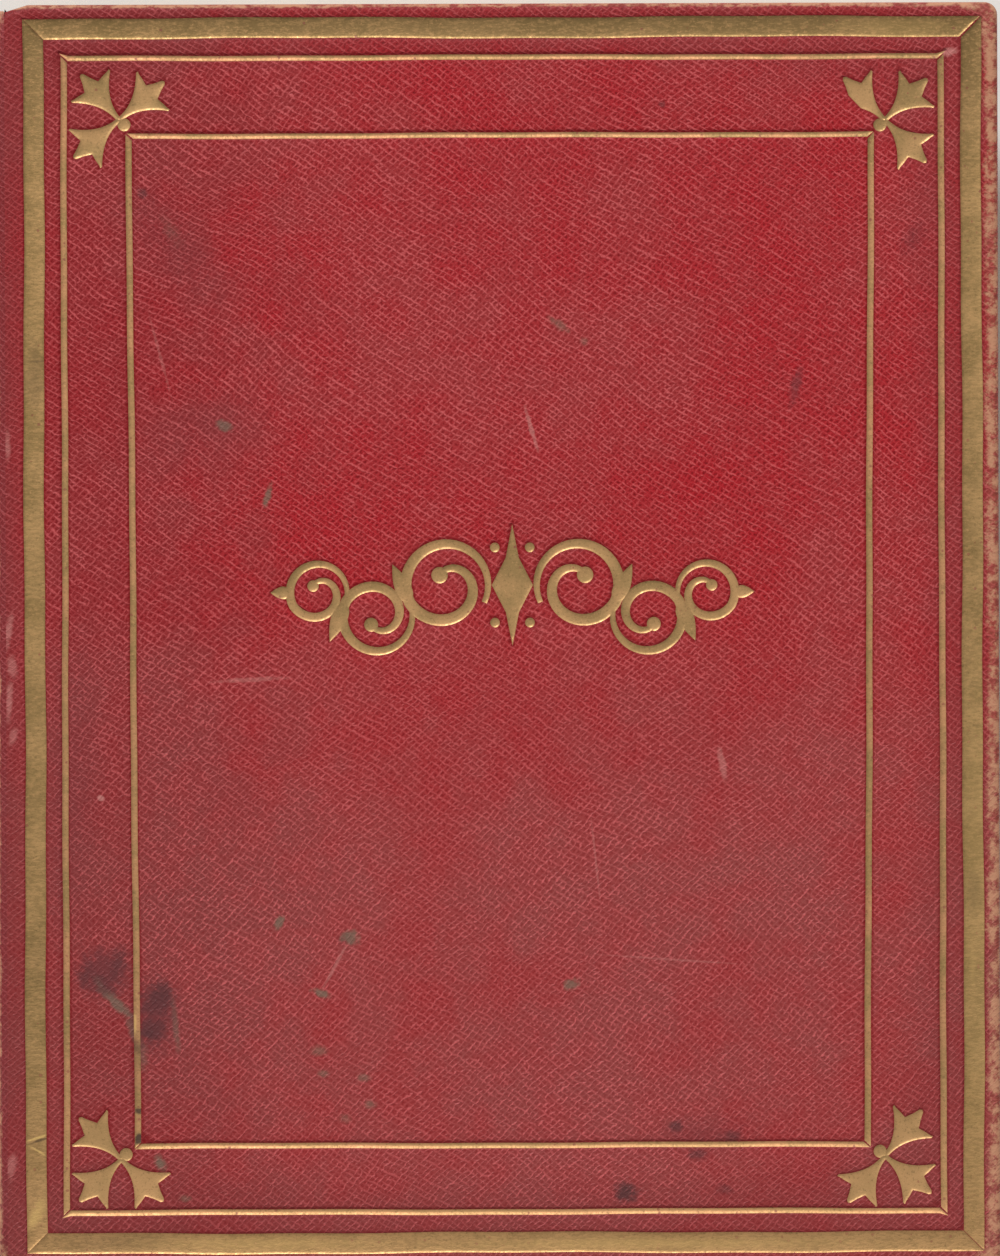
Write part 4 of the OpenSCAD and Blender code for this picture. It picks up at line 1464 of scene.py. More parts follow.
@dataclass
class Cover:
    """One cover's leather, with its tooling, rounded edges and turned-in rim, and the gold in it."""

    album: Album
    side: Side
    tooling: Tooling
    rim_in: float = 1.5
    rim_flat: float = 1.7
    rim_depth: float = 4.3
    edge_step: float = 4.0
    corner_steps: int = 8
    tuck: float = 0.25
    row_slip: float = 0.02
    row_stretch: float = 0.25
    grid: float = 5.0
    grid_in: float = 3.0
    grid_clear: float = 1.8
    slant_fade: float = 0.55
    undulation: float = 0.05
    skin: float = 0.02
    rows: tuple[float, ...] = (0.9, 0.55, 0.3, 0.14, -0.14, -0.32, -0.5, -1.2)
    walls: tuple[Point, ...] = ((-2.0, 0.42), (-1.2, 0.39), (-0.5, 0.345), (-0.32, 0.325), (-0.14, 0.275),
                                (0.0, 0.21), (0.14, 0.145), (0.3, 0.085), (0.55, 0.03), (0.9, 0.0))
    rim: tuple[Point, ...] = ((1.5, 0.0), (1.1, 0.06), (0.7, 0.2), (0.38, 0.45), (0.14, 0.85),
                              (0.02, 1.35), (0.0, 2.2), (0.02, 3.1), (0.16, 3.65), (0.5, 4.08),
                              (1.0, 4.27), (1.7, 4.3), (5.0, 4.28), (13.4, 4.3), (13.85, 4.2),
                              (14.0, 3.95))

    def edge(self, inset: float, depth_share: float = 0.0) -> Outline:
        """The cover's free edges, from the spine at the tail round to the spine at the head.

        Args:
            inset: how far in from the edge the line runs.
            depth_share: how far the slanted cuts beside the spine have faded out, from 0 to 1.

        Returns:
            The points; every call gives the same number of them.
        """
        a = self.album
        slants = [(a.board_x + a.slant_w * t, a.slant_d * (1 - t)) for t in (0.0, 0.33, 0.67)]
        straight = divided([(a.board_x + a.slant_w, 0.0), (a.fore_x - a.corner_r, 0.0)],
                           self.edge_step, False)
        tail = [(x, -a.half_h + inset + cut * (1 - depth_share)) for x, cut in slants + straight[:-1]]
        limit_x, limit_y = a.fore_x - inset, inset - a.half_h
        up = divided([(a.fore_x, a.corner_r - a.half_h), (a.fore_x, 0.0)], self.edge_step, False)[1:]
        if inset < a.corner_r:
            middle = (a.fore_x - a.corner_r, a.corner_r - a.half_h)
            corner = arc(middle, a.corner_r - inset, -90, 0, self.corner_steps)
            fore = [(limit_x, y) for _, y in up]
        else:
            corner = [(limit_x, limit_y)] * (self.corner_steps + 1)
            tail = [(min(x, limit_x - self.tuck), y) for x, y in tail]
            fore = [(limit_x, max(y, limit_y + self.tuck)) for _, y in up]
        lower = tail + corner + fore
        return lower + [(x, -y) for x, y in lower[-2::-1]]

    def face_edge(self) -> Outline:
        """The closed line round the flat face."""
        line = self.edge(self.rim_in)
        back = divided([line[-1], line[0]], self.edge_step, False)
        return line + back[1:-1]

    def height(self, x: float, y: float, depth: float) -> Vertex:
        """A point of the frame from its place on the cover and its depth under the outer face."""
        return (x, y, self.album.thick - depth if self.side is Side.FRONT else depth)

    def pressed(self, points: np.ndarray,
                shapes: Sequence[Impression]) -> tuple[np.ndarray, np.ndarray]:
        """Distance of points from the nearest impression.

        Args:
            points: the points.
            shapes: the impressions.

        Returns:
            The distances, negative inside, and the number of the nearest piece of gold.
        """
        nearest = np.full(len(points), REACH)
        piece = np.zeros(len(points), int)
        kinds = list(Gilt)
        for shape in shapes:
            gap = signed_distance(points, shape.outline)
            closer = gap < nearest
            nearest[closer] = gap[closer]
            piece[closer] = kinds.index(shape.piece)
        return nearest, piece

    def waviness(self, points: np.ndarray) -> np.ndarray:
        """The slight unevenness of old board, none at its edges.

        Args:
            points: the points.

        Returns:
            How deep each point lies for it.
        """
        x, y = points[:, 0], points[:, 1]
        wave = (np.sin(x / 31 + 0.7) * np.cos(y / 27) + 0.6 * np.sin(x / 13 + y / 17)
                + 0.4 * np.sin(y / 9.5 - x / 21))
        a = self.album
        room = np.minimum(a.half_h - np.abs(y), np.minimum(a.fore_x - x, x - a.board_x))
        return self.undulation * (wave + 2) / 2 * np.clip((room - self.rim_in) / 6, 0, 1)

    def _lines(self, shapes: Sequence[Impression]) -> tuple[list[Outline], Outline]:
        """Rows of points beside the impressions, for the bevels round them.

        Args:
            shapes: the impressions.

        Returns:
            The rows, and the points on arcs round sharp tips.
        """
        rows: list[Outline] = []
        tips: Outline = []
        for shape in shapes:
            for distance in self.rows:
                line = row_beside(shape.outline, distance)
                gap, _ = self.pressed(np.array(line), shapes)
                keep = np.abs(gap - distance) < self.row_stretch * abs(distance) + self.row_slip
                rows += self._runs(line, keep)
                arcs = round_tips(shape.outline, distance) if distance > 0 else []
                if arcs:
                    gap, _ = self.pressed(np.array(arcs), shapes)
                    tips += [p for p, g in zip(arcs, gap) if abs(g - distance) < self.row_slip]
        return rows, tips

    def _grid(self, shapes: Sequence[Impression]) -> Outline:
        """Points strewn evenly over the open face.

        Args:
            shapes: the impressions, which the points keep clear of.

        Returns:
            The points.
        """
        a = self.album
        xs = np.arange(a.board_x + self.grid_in, a.fore_x - self.grid_in, self.grid)
        ys = np.arange(self.grid_in - a.half_h, a.half_h - self.grid_in, self.grid)
        grid = np.array([(x + 0.5 * (k % 2) * self.grid, y) for k, y in enumerate(ys) for x in xs])
        gap, _ = self.pressed(grid, shapes)
        inside = (grid[:, 0] < a.fore_x - self.grid_in) & (gap > self.grid_clear)
        return [tuple(p) for p in grid[inside]]

    def face(self) -> tuple[list[Vertex], np.ndarray, np.ndarray, np.ndarray]:
        """Builds the tooled face.

        Returns:
            The points, the triangles, each triangle's distance from the nearest impression, and the
            number of its piece of gold.
        """
        shapes = self.tooling.all(self.side)
        rows, tips = self._lines(shapes)
        points, faces = triangles([self.face_edge()] + [s.outline for s in shapes], rows,
                                  tips + self._grid(shapes))
        gap, _ = self.pressed(points, shapes)
        depth = np.interp(gap, *zip(*self.walls)) + self.waviness(points)
        for shape in shapes:
            if shape.slant:
                beside = np.clip(1 - signed_distance(points, shape.outline) / self.slant_fade, 0, 1)
                depth += beside * shape.tilt(points)
        middles, piece = self.pressed(points[faces].mean(1), shapes)
        corners = points[faces]
        turned = np.cross(corners[:, 1] - corners[:, 0], corners[:, 2] - corners[:, 0])
        good = np.abs(turned) > 1e-6
        faces, middles, piece, turned = faces[good], middles[good], piece[good], turned[good]
        wrong = (turned < 0) if self.side is Side.FRONT else (turned > 0)
        faces[wrong] = faces[wrong][:, ::-1]
        return [self.height(x, y, d) for (x, y), d in zip(points, depth)], faces, middles, piece

    @staticmethod
    def _runs(line: Outline, keep: np.ndarray) -> list[Outline]:
        """The stretches of a line whose points are all kept.

        Args:
            line: the line.
            keep: which of its points are kept.

        Returns:
            One line for each stretch.
        """
        found: list[Outline] = []
        run: Outline = []
        for p, kept in zip(line, keep):
            if kept:
                run.append(p)
            elif run:
                found.append(run)
                run = []
        return found + ([run] if run else [])

    def dress(self, leather: Material, gold: dict[Gilt, Material]) -> None:
        """Builds the leather and the gold.

        Args:
            leather: the leather's material.
            gold: the material of each piece of gold; empty on the back cover.
        """
        vertices, faces, middles, piece = self.face()
        body = Body.FRONT_COVER if self.side is Side.FRONT else Body.BACK_COVER
        self._leather(body, vertices, faces, leather)
        for number, kind in enumerate(Gilt):
            if kind in gold:
                chosen = faces[(middles < -1e-4) & (piece == number)]
                self._gold(kind, vertices, chosen, gold[kind])

    def _leather(self, body: Body, vertices: list[Vertex], faces: np.ndarray,
                 leather: Material) -> None:
        """Joins the face, the rolled edge, the turned-in rim and the cut ends at the spine.

        Args:
            body: the body that carries the cover.
            vertices: the face's points.
            faces: the face's triangles.
            leather: the material.
        """
        a = self.album
        points, polygons = list(vertices), [tuple(f) for f in faces]
        rings = []
        for inset, depth in self.rim:
            share = 0.0
            if depth > self.rim_depth / 2:
                share = min(1.0, max(0.0, (inset - self.rim_flat) / (a.turn_in - self.rim_flat)))
            inset, depth = min(inset, a.turn_in), depth * a.cover_t / self.rim_depth
            rings.append([self.height(x, y, depth) for x, y in self.edge(inset, share)])
        count = len(rings[0])
        first = len(points)
        points += [v for ring in rings for v in ring]
        flip = self.side is Side.BACK
        for i in range(len(rings) - 1):
            for j in range(count - 1):
                p = first + i * count + j
                quad = (p, p + count, p + count + 1, p + 1)
                polygons.append(quad[::-1] if flip else quad)
        for place, way in ((0, flip), (count - 1, not flip)):
            ring = [first + i * count + place for i in range(len(rings))]
            y_sign = -1 if place == 0 else 1
            inside_z, wall_y = a.leather_t + a.board_t, a.half_h - a.leather_t
            inner = [(a.half_h - a.turn_in, inside_z), (wall_y, inside_z), (wall_y, a.leather_t),
                     (a.half_h - a.slant_d - self.rim_in, a.leather_t)]
            start = len(points)
            points += [self.height(a.board_x, y_sign * y, d) for y, d in inner]
            cap = ring + list(range(start, start + len(inner)))
            polygons.append(tuple(cap[::-1] if way else cap))
        line = [p for p in self.face_edge() if abs(p[0] - a.board_x) < 1e-6]
        line.sort(key=lambda p: p[1])
        start = len(points)
        points += [self.height(x, y, d) for x, y in line for d in (0.0, a.leather_t)]
        for i in range(len(line) - 1):
            p = start + 2 * i
            quad = (p, p + 2, p + 3, p + 1)
            polygons.append(quad[::-1] if not flip else quad)
        piece = mesh_piece(f"{self.side.value}_cover_leather", points, polygons, [leather], merge=0.02)
        report(piece, body.value, f"{self.side.value}_leather", slot="cover_leather")

    def _gold(self, kind: Gilt, vertices: list[Vertex], faces: np.ndarray, gold: Material) -> None:
        """Lays a thin skin of gold on the floor and walls of its impressions.

        Args:
            kind: which piece.
            vertices: the face's points.
            faces: the triangles inside its impressions.
            gold: the material.
        """
        used, index = np.unique(faces, return_inverse=True)
        points = [(vertices[k][0], vertices[k][1], vertices[k][2] + self.skin) for k in used]
        piece = mesh_piece(kind.value.replace("front_", "") + "_gold", points,
                           [tuple(f) for f in index.reshape(-1, 3)], [gold])
        report(piece, Body.FRONT_COVER.value, kind.value, slot="gilt")


@dataclass
class Spine:
    """The rounded spine with its turned-in head caps and gilt rules, and the two joints."""

    album: Album
    joint_gap: float = 1.2
    cap_in: float = 1.8
    cap_half_angle: float = 22.0
    rule_pairs: int = 5
    rule_w: float = 0.8
    rule_apart: float = 1.6
    steps: int = 40

    def __post_init__(self) -> None:
        """Finds the circle that the spine follows."""
        a = self.album
        bulge = round(a.hinge_x - a.spine_x, 1)
        self.radius = (a.thick ** 2 / 4 + bulge ** 2) / (2 * bulge)
        self.centre_x = a.hinge_x - bulge + self.radius
        self.centre_z = a.thick / 2
        self.half_angle = math.degrees(math.acos(self._reach() / self.radius))

    def _reach(self) -> float:
        """Distance from the spine's centre line to the ends of its leather."""
        return self.centre_x - self.album.hinge_x + self.joint_gap

    def rules(self) -> list[float]:
        """The places of the gilt rules along the album."""
        step = 2 * self.album.half_h / (self.rule_pairs + 1)
        return [k * step - self.album.half_h + s * self.rule_apart / 2
                for k in range(1, self.rule_pairs + 1) for s in (-1, 1)]

    def point(self, angle: float, drop: float, y: float) -> Vertex:
        """A point under the spine's round at an angle in degrees, up from the middle."""
        r, a = self.radius - drop, math.radians(angle)
        return (self.centre_x - r * math.cos(a), y, self.centre_z + r * math.sin(a))

    def section(self, angle: float) -> list[Vertex]:
        """One closed section of the leather along the album, with the caps rolled over at its ends.

        Args:
            angle: where on the spine's round, in degrees up from its middle.

        Returns:
            The section's points.
        """
        h, t = self.album.half_h, self.album.leather_t
        fade = min(1.0, max(0.0, (self.cap_half_angle + 2 - abs(angle)) / 4))
        turned = t + self.cap_in * fade * fade * (3 - 2 * fade)
        middle: list[Point] = []
        for y in self.rules():
            half = self.rule_w / 2
            middle += [(0.0, y - half - 0.4), (0.06, y - half), (0.27, y - half + 0.14),
                       (0.27, y + half - 0.14), (0.06, y + half), (0.0, y + half + 0.4)]
        end = [(0.0, 1.1), (0.05, 0.65), (0.2, 0.28), (0.5, 0.06), (0.9, 0.0), (turned - 0.2, 0.05),
               (turned, 0.3), (turned, 0.7), (turned - 0.12, t), (t, t + 0.05)]
        outer = [(d, y - h) for d, y in end[::-1]] + middle + [(d, h - y) for d, y in end]
        return [self.point(angle, d, y) for d, y in outer]

    def dress(self, leather: Material, joint: Material, gold: Material) -> None:
        """Builds the spine's leather, its gilt rules and both joints.

        Args:
            leather: the spine's leather.
            joint: the same leather, cracked and rubbed where it bends.
            gold: the gold of the rules.
        """
        angles = np.linspace(-self.half_angle, self.half_angle, self.steps + 1)
        piece = lofted("spine_leather_cover", [self.section(a) for a in angles], [leather], True,
                       capped=True)
        outward(piece)
        report(piece, Body.BLOCK.value, "spine_leather", slot="spine_leather")
        self._rules(gold)
        self._joint(Side.FRONT, joint)
        self._joint(Side.BACK, joint)

    def _rules(self, gold: Material) -> None:
        """Lays the gilt rules across the spine.

        Args:
            gold: the material.
        """
        vertices: list[Vertex] = []
        faces: list[tuple[int, ...]] = []
        angles = np.linspace(-self.half_angle, self.half_angle, self.steps + 1)
        for y in self.rules():
            half = self.rule_w / 2
            line = [(0.09, y - half + 0.01), (0.23, y - half + 0.13), (0.235, y),
                    (0.23, y + half - 0.13), (0.09, y + half - 0.01)]
            first = len(vertices)
            vertices += [self.point(a, d, yy) for a in angles for d, yy in line]
            for i in range(self.steps):
                for j in range(4):
                    p = first + i * 5 + j
                    faces.append((p, p + 5, p + 6, p + 1))
        piece = mesh_piece("spine_rules_gold", vertices, faces, [gold])
        report(piece, Body.BLOCK.value, "spine_gilt_rules", slot="gilt")

    def _joint(self, side: Side, leather: Material) -> None:
        """Builds the leather that bends at one cover's hinge line.

        Args:
            side: which cover.
            leather: the material.
        """
        a = self.album
        outer_z = self.centre_z - math.sqrt(self.radius ** 2 - self._reach() ** 2)
        inner_z = self.centre_z - math.sqrt((self.radius - a.leather_t) ** 2 - self._reach() ** 2)
        g = self.joint_gap
        line = [(-g, outer_z), (-0.75 * g, outer_z * 0.68), (-0.5 * g, outer_z * 0.42),
                (-0.2 * g, outer_z * 0.2), (0.15 * g, outer_z * 0.07), (0.55 * g, 0.03), (g, 0.0),
                (g, a.leather_t), (0.5 * g, a.leather_t + 0.05), (0.0, inner_z * 0.36),
                (-0.4 * g, inner_z * 0.6), (-g, inner_z)]
        h = a.half_h - a.slant_d
        ys = [-h, -h + 0.2] + [y for y in np.linspace(-h, h, 25)[1:-1]] + [h - 0.2, h]
        rings = []
        for y in ys:
            pulled = 0.12 if abs(abs(y) - h) < 1e-6 else 0.0
            middle = np.mean(line, axis=0)
            ring = [(a.hinge_x + x + (middle[0] - x) * pulled, y, z + (middle[1] - z) * pulled)
                    for x, z in line]
            rings.append([(x, y, a.thick - z) if side is Side.FRONT else (x, y, z) for x, y, z in ring])
        piece = lofted(f"{side.value}_joint", rings, [leather], True, capped=True)
        outward(piece)
        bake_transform(piece)
        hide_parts(f"{side.value}_joint_leather")


def outward(piece: Piece) -> None:
    """Turns the faces of a closed piece outward.

    Args:
        piece: the piece.
    """
    shape = bmesh.new()
    shape.from_mesh(piece.data)
    bmesh.ops.recalc_face_normals(shape, faces=shape.faces)
    shape.to_mesh(piece.data)
    shape.free()


@dataclass
class HeadBands:
    """The silk bands worked over a cord at the head and tail of the block."""

    album: Album
    spine: Spine
    thickness: float = 2.0
    wrap: float = 0.5
    stripe: int = 3
    around: int = 14

    def dress(self, silks: Sequence[Material]) -> None:
        """Builds both bands.

        Args:
            silks: the two silks, which take turns in stripes.
        """
        low, high = (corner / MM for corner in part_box("head_band"))
        half_height = (high.z - low.z) / 2 - self.thickness / 2
        radius = self.spine.centre_x - low.x - self.thickness / 2
        half_angle = math.asin(half_height / radius)
        wraps = round(2 * half_angle * radius / self.wrap)
        for name, y in (("head_band", (low.y + high.y) / 2), ("tail_band", -(low.y + high.y) / 2)):
            rings = []
            for i in range(wraps * 4 + 1):
                turn = half_angle * (2 * i / (wraps * 4) - 1)
                swell = self.thickness / 2 * (0.84 + 0.16 * abs(math.sin(math.pi * i / 4)))
                rings.append([self._around(radius, turn, y, swell, 2 * math.pi * k / self.around)
                              for k in range(self.around)])
            piece = lofted(f"{name}_worked", rings, silks, True, capped=True,
                           slot_of=lambda i, j: (i // 4 // self.stripe) % 2)
            outward(piece)
            report(piece, Body.BLOCK.value, name, slot="silk")

    def _around(self, radius: float, turn: float, y: float, swell: float, place: float) -> Vertex:
        """One point of a thread's wrap round the cord."""
        r = radius + swell * math.cos(place)
        return (self.spine.centre_x - r * math.cos(turn), y + swell * math.sin(place),
                self.spine.centre_z + r * math.sin(turn))


class MatSlot(int, Enum):
    """The places of a mat's materials."""

    CARD = 0
    PRINTED = 1
    EDGE = 2


@dataclass
class WindowMat:
    """One card mat with an arched window, a slit below it and a pocket behind it."""

    x0: float
    x1: float
    half_h: float
    thick: float
    corner_r: float = 3.0
    window_w: float = 98.0
    side_h: float = 126.0
    arch_rise: float = 14.0
    window_up: float = 4.0
    pocket_over: float = 6.0
    pocket_t: float = 0.45
    slit_h: float = 1.6
    slit_below: float = 12.0
    bevel: float = 0.65
    rim: float = 0.12
    spacing: float = 12.0
    lines: tuple[Point, ...] = ((2.2, 2.5), (3.1, 4.2))

    def outline(self, inset: float = 0.0) -> Outline:
        """The mat's edge, square at the guard and round at the fore-edge."""
        r, h, x1 = self.corner_r - inset, self.half_h - inset, self.x1 - inset
        return ([(self.x0, -h)] + arc((x1 - r, r - h), r, -90, 0, 6) + arc((x1 - r, h - r), r, 0, 90, 6)
                + [(self.x0, h)])

    def window(self, by: float = 0.0) -> Outline:
        """The window's outline.

        Args:
            by: how much larger it is all round.

        Returns:
            The outline from its left foot on.
        """
        half, rise = self.window_w / 2, self.arch_rise
        radius = (half ** 2 + rise ** 2) / (2 * rise)
        foot = self.window_up - (self.side_h + rise) / 2
        top = foot + self.side_h + rise
        middle = (self.x0 + self.x1) / 2
        turn = math.degrees(math.asin((half + by) / (radius + by)))
        bow = arc((middle, top - radius), radius + by, 90 - turn, 90 + turn, 20)
        return [(middle - half - by, foot - by), (middle + half + by, foot - by)] + bow

    def pocket(self) -> Outline:
        """The recess behind the window that holds a mounted photograph.

        Returns:
            Its corners from the lower left on.
        """
        half = self.window_w / 2 + self.pocket_over
        middle = (self.x0 + self.x1) / 2
        low = self.window_up - (self.side_h + self.arch_rise) / 2 - self.slit_below - self.slit_h
        high = low + self.side_h + self.arch_rise + self.slit_below + 2 * self.pocket_over
        return [(middle - half, low), (middle + half, low), (middle + half, high), (middle - half, high)]

    def slit(self) -> Outline:
        """The slit that a photograph goes in by."""
        (x0, y0), (x1, _), _, _ = self.pocket()
        return [(x0, y0), (x1, y0), (x1, y0 + self.slit_h), (x0, y0 + self.slit_h)]

    def _level(self, loops: Sequence[Outline], keep: Test) -> tuple[np.ndarray, np.ndarray]:
        """The triangles of one level, kept by a test of their middles."""
        points, faces = triangles([divided(loop, self.spacing) for loop in loops], [], [])
        return points, faces[keep(points[faces].mean(1))]

    def build(self, name: str, base: float, way: int, materials: Sequence[Material]) -> Piece:
        """Builds the mat.

        Args:
            name: the object's name.
            base: height of its back.
            way: 1 where its show side looks up, -1 where it looks down.
            materials: card, printed gold, gilt edge.

        Returns:
            The object.
        """
        vertices: list[Vertex] = []
        faces: list[tuple[int, ...]] = []
        slots: list[int] = []

        def inside(points: np.ndarray, loop: Outline) -> np.ndarray:
            """Which points lie in a loop."""
            return signed_distance(points, loop, FAR) < 0

        def card(middles: np.ndarray) -> np.ndarray:
            """Plain card for every face."""
            return np.full(len(middles), int(MatSlot.CARD))

        def show(middles: np.ndarray) -> np.ndarray:
            """Which faces of the show side are card."""
            open_at = inside(middles, self.window(self.bevel)) | inside(middles, self.slit())
            return inside(middles, self.outline(self.rim)) & ~open_at

        def printed(middles: np.ndarray) -> np.ndarray:
            """Gold on the lines round the window, else card."""
            lines = np.any([inside(middles, self.window(far)) & ~inside(middles, self.window(near))
                            for near, far in self.lines], axis=0)
            return np.where(lines, int(MatSlot.PRINTED), int(MatSlot.CARD))

        def back(middles: np.ndarray) -> np.ndarray:
            """Which faces of the back lie round the pocket."""
            return inside(middles, self.outline()) & ~inside(middles, self.pocket())

        def floor(middles: np.ndarray) -> np.ndarray:
            """Which faces make the pocket's floor."""
            open_at = inside(middles, self.window()) | inside(middles, self.slit())
            return inside(middles, self.pocket()) & ~open_at

        def level(loops: Sequence[Outline], z: float, up: bool, keep: Test, slot: Test) -> None:
            """Adds the faces of one level.

            Args:
                loops: the outlines on it.
                z: its height over the back.
                up: whether it looks to the show side.
                keep: tells which faces are kept.
                slot: gives each face's material number.
            """
            points, found = self._level(loops, keep)
            first = len(vertices)
            vertices.extend((x, y, base + way * z) for x, y in points)
            corners = points[found]
            turned = np.cross(corners[:, 1] - corners[:, 0], corners[:, 2] - corners[:, 0]) > 0
            kinds = slot(corners.mean(1))
            for face, ccw, kind in zip(found, turned, kinds):
                face = tuple(int(v) + first for v in face)
                faces.append(face if ccw == (up == (way == 1)) else face[::-1])
                slots.append(int(kind))

        def wall(lower: Outline, upper: Outline, z0: float, z1: float, out: bool,
                 slot: MatSlot) -> None:
            """Adds a wall between two loops of as many points.

            Args:
                lower: the loop nearer the back.
                upper: the other loop.
                z0: height of the lower loop.
                z1: height of the upper loop.
                out: whether the wall looks away from the loop's middle.
                slot: its material's place.
            """
            first, count = len(vertices), len(lower)
            vertices.extend((x, y, base + way * z0) for x, y in lower)
            vertices.extend((x, y, base + way * z1) for x, y in upper)
            for i in range(count):
                j = (i + 1) % count
                quad = (first + i, first + j, first + count + j, first + count + i)
                faces.append(quad if out == (way == 1) else quad[::-1])
                slots.append(slot.value)

        rings = [self.window(d) for pair in self.lines for d in pair]
        level([self.outline(self.rim), self.window(self.bevel), self.slit()] + rings, self.thick, True,
              show, printed)
        back_loops = [self.outline(), self.pocket(), self.window(), self.slit()]
        level(back_loops, 0.0, False, back, card)
        level(back_loops, self.pocket_t, False, floor, card)
        edge, top = (divided(self.outline(inset), self.spacing) for inset in (0.0, self.rim))
        wall(edge, edge, 0.0, self.thick - self.rim, True, MatSlot.EDGE)
        wall(edge, top, self.thick - self.rim, self.thick, True, MatSlot.EDGE)
        wall(self.window(), self.window(self.bevel), self.pocket_t, self.thick, False, MatSlot.CARD)
        wall(self.slit(), self.slit(), self.pocket_t, self.thick, False, MatSlot.CARD)
        wall(self.pocket(), self.pocket(), 0.0, self.pocket_t, False, MatSlot.CARD)
        return mesh_piece(name, vertices, faces, materials, slots, merge=AS_ONE)


@dataclass
class Leaves:
    """The card leaves: a stiff core between two window mats, on a linen guard."""

    album: Album

    def dress(self, card: Material, line: Material, edge: Material,
              core: Material, guard: Material) -> None:
        """Builds the mats and dresses the cores and guards.

        Args:
            card: the mats' card.
            line: the gold printed round the windows.
            edge: the gilt edges.
            core: the cores' card.
            guard: the guards' linen.
        """
        for number in range(1, self.album.leaf_n + 1):
            leaf = f"leaf_{number}"
            for place, way in (("upper", 1), ("lower", -1)):
                low, high = (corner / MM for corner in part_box(f"{leaf}_{place}_mat"))
                mat = WindowMat(low.x, high.x, high.y, high.z - low.z)
                piece = mat.build(f"{leaf}_{place}_window_mat", low.z if way == 1 else high.z, way,
                                  [card, line, edge])
                report(piece, leaf, f"{leaf}_{place}_mat", slot="mat_card")
            coat(f"{leaf}_core", core)
            coat(f"{leaf}_guard", guard)


def coat(node: str, material: Material) -> None:
    """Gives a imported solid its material; its shape stays as it is.

    Args:
        node: the solid's name.
        material: the material.
    """
    solid = bpy.data.objects[node]
    solid.data.materials.clear()
    solid.data.materials.append(material)
    LOG.info("%s keeps its solid, in %s", node, material.name)


@dataclass(frozen=True)
class SilkFinish:
    """Twisted silk thread with a soft shine."""

    name: str
    light: Colour
    dark: Colour

    def material(self, effects: Effects) -> Material:
        """Builds the material.

        Args:
            effects: the shared effects.

        Returns:
            The material.
        """
        s = Surface(self.name, Sheen_Weight=0.3, Specular_IOR_Level=0.5)
        g = s.graph
        strands = g.noise(g.vector("MULTIPLY", s.where, (2.0, 2.0, 9.0)), 0.9, 2.0)
        soiled = s.effect(effects.mottle, Size=3.0)["Patch"]
        colour = g.mix(g.ramp(strands, 0.35, 0.65), self.dark, self.light)
        colour = g.mix(g.times(soiled, 0.35), colour, self.dark)
        s.paint(colour, g.ramp(strands, 0.3, 0.7, 0.42, 0.6))
        s.bump(strands, 0.05)
        return s.material


@dataclass
class Studio:
    """Plain pale floor, plain soft light and the camera at the photograph's angle."""

    album: Album
    floor_half: float = 2200.0
    lens: float = 120.0
    frame_w: float = 200.0
    aspect: float = 1256 / 1000
    sensor: float = 36.0
    aim: Point = (2.5, 1.4)
    roll: float = -0.18
    key_from: Vertex = (-0.3, 1.0, 0.95)
    key_power: float = 2.7
    key_angle: float = 14.0
    surround: float = 0.42
    warm_white: Colour = (1.0, 0.98, 0.96)

    def build(self, floor: Material) -> None:
        """Makes the floor, the lights and the camera.

        Args:
            floor: the floor's material.
        """
        self._floor(floor)
        self._lights()
        self._camera()

    def _floor(self, material: Material) -> None:
        """A flat floor, wider than every view.

        Args:
            material: its material.
        """
        steps = np.linspace(-self.floor_half, self.floor_half, 9)
        rings = [[(x, y, -0.02) for x in steps] for y in steps]
        piece = lofted("studio_floor", rings, [material], False)

    def _lights(self) -> None:
        """A broad key from the head of the album and an even surround."""
        scene = bpy.context.scene
        world = bpy.data.worlds.new("studio_surround")
        world.use_nodes = True
        background = world.node_tree.nodes["Background"]
        background.inputs["Color"].default_value = (*self.warm_white, 1.0)
        background.inputs["Strength"].default_value = self.surround
        scene.world = world
        key = bpy.data.lights.new("key", "SUN")
        key.energy, key.angle = self.key_power, math.radians(self.key_angle)
        lamp = bpy.data.objects.new("key", key)
        lamp.rotation_euler = Vector(self.key_from).to_track_quat("Z", "Y").to_euler()
        scene.collection.objects.link(lamp)
        scene.view_settings.view_transform = "Standard"

    def _camera(self) -> None:
        """A long lens straight above the cover, which fills the frame as in the photograph."""
        data = bpy.data.cameras.new("camera")
        data.lens, data.sensor_width = self.lens, self.sensor
        away = self.frame_w * self.aspect * self.lens / data.sensor_width
        camera = bpy.data.objects.new("camera", data)
        camera.location = (self.aim[0] * MM, self.aim[1] * MM, (self.album.thick + away) * MM)
        camera.rotation_euler = (0.0, 0.0, math.radians(self.roll))
        data.clip_start, data.clip_end = 0.01, 20.0
        bpy.context.scene.collection.objects.link(camera)
        bpy.context.scene.camera = camera


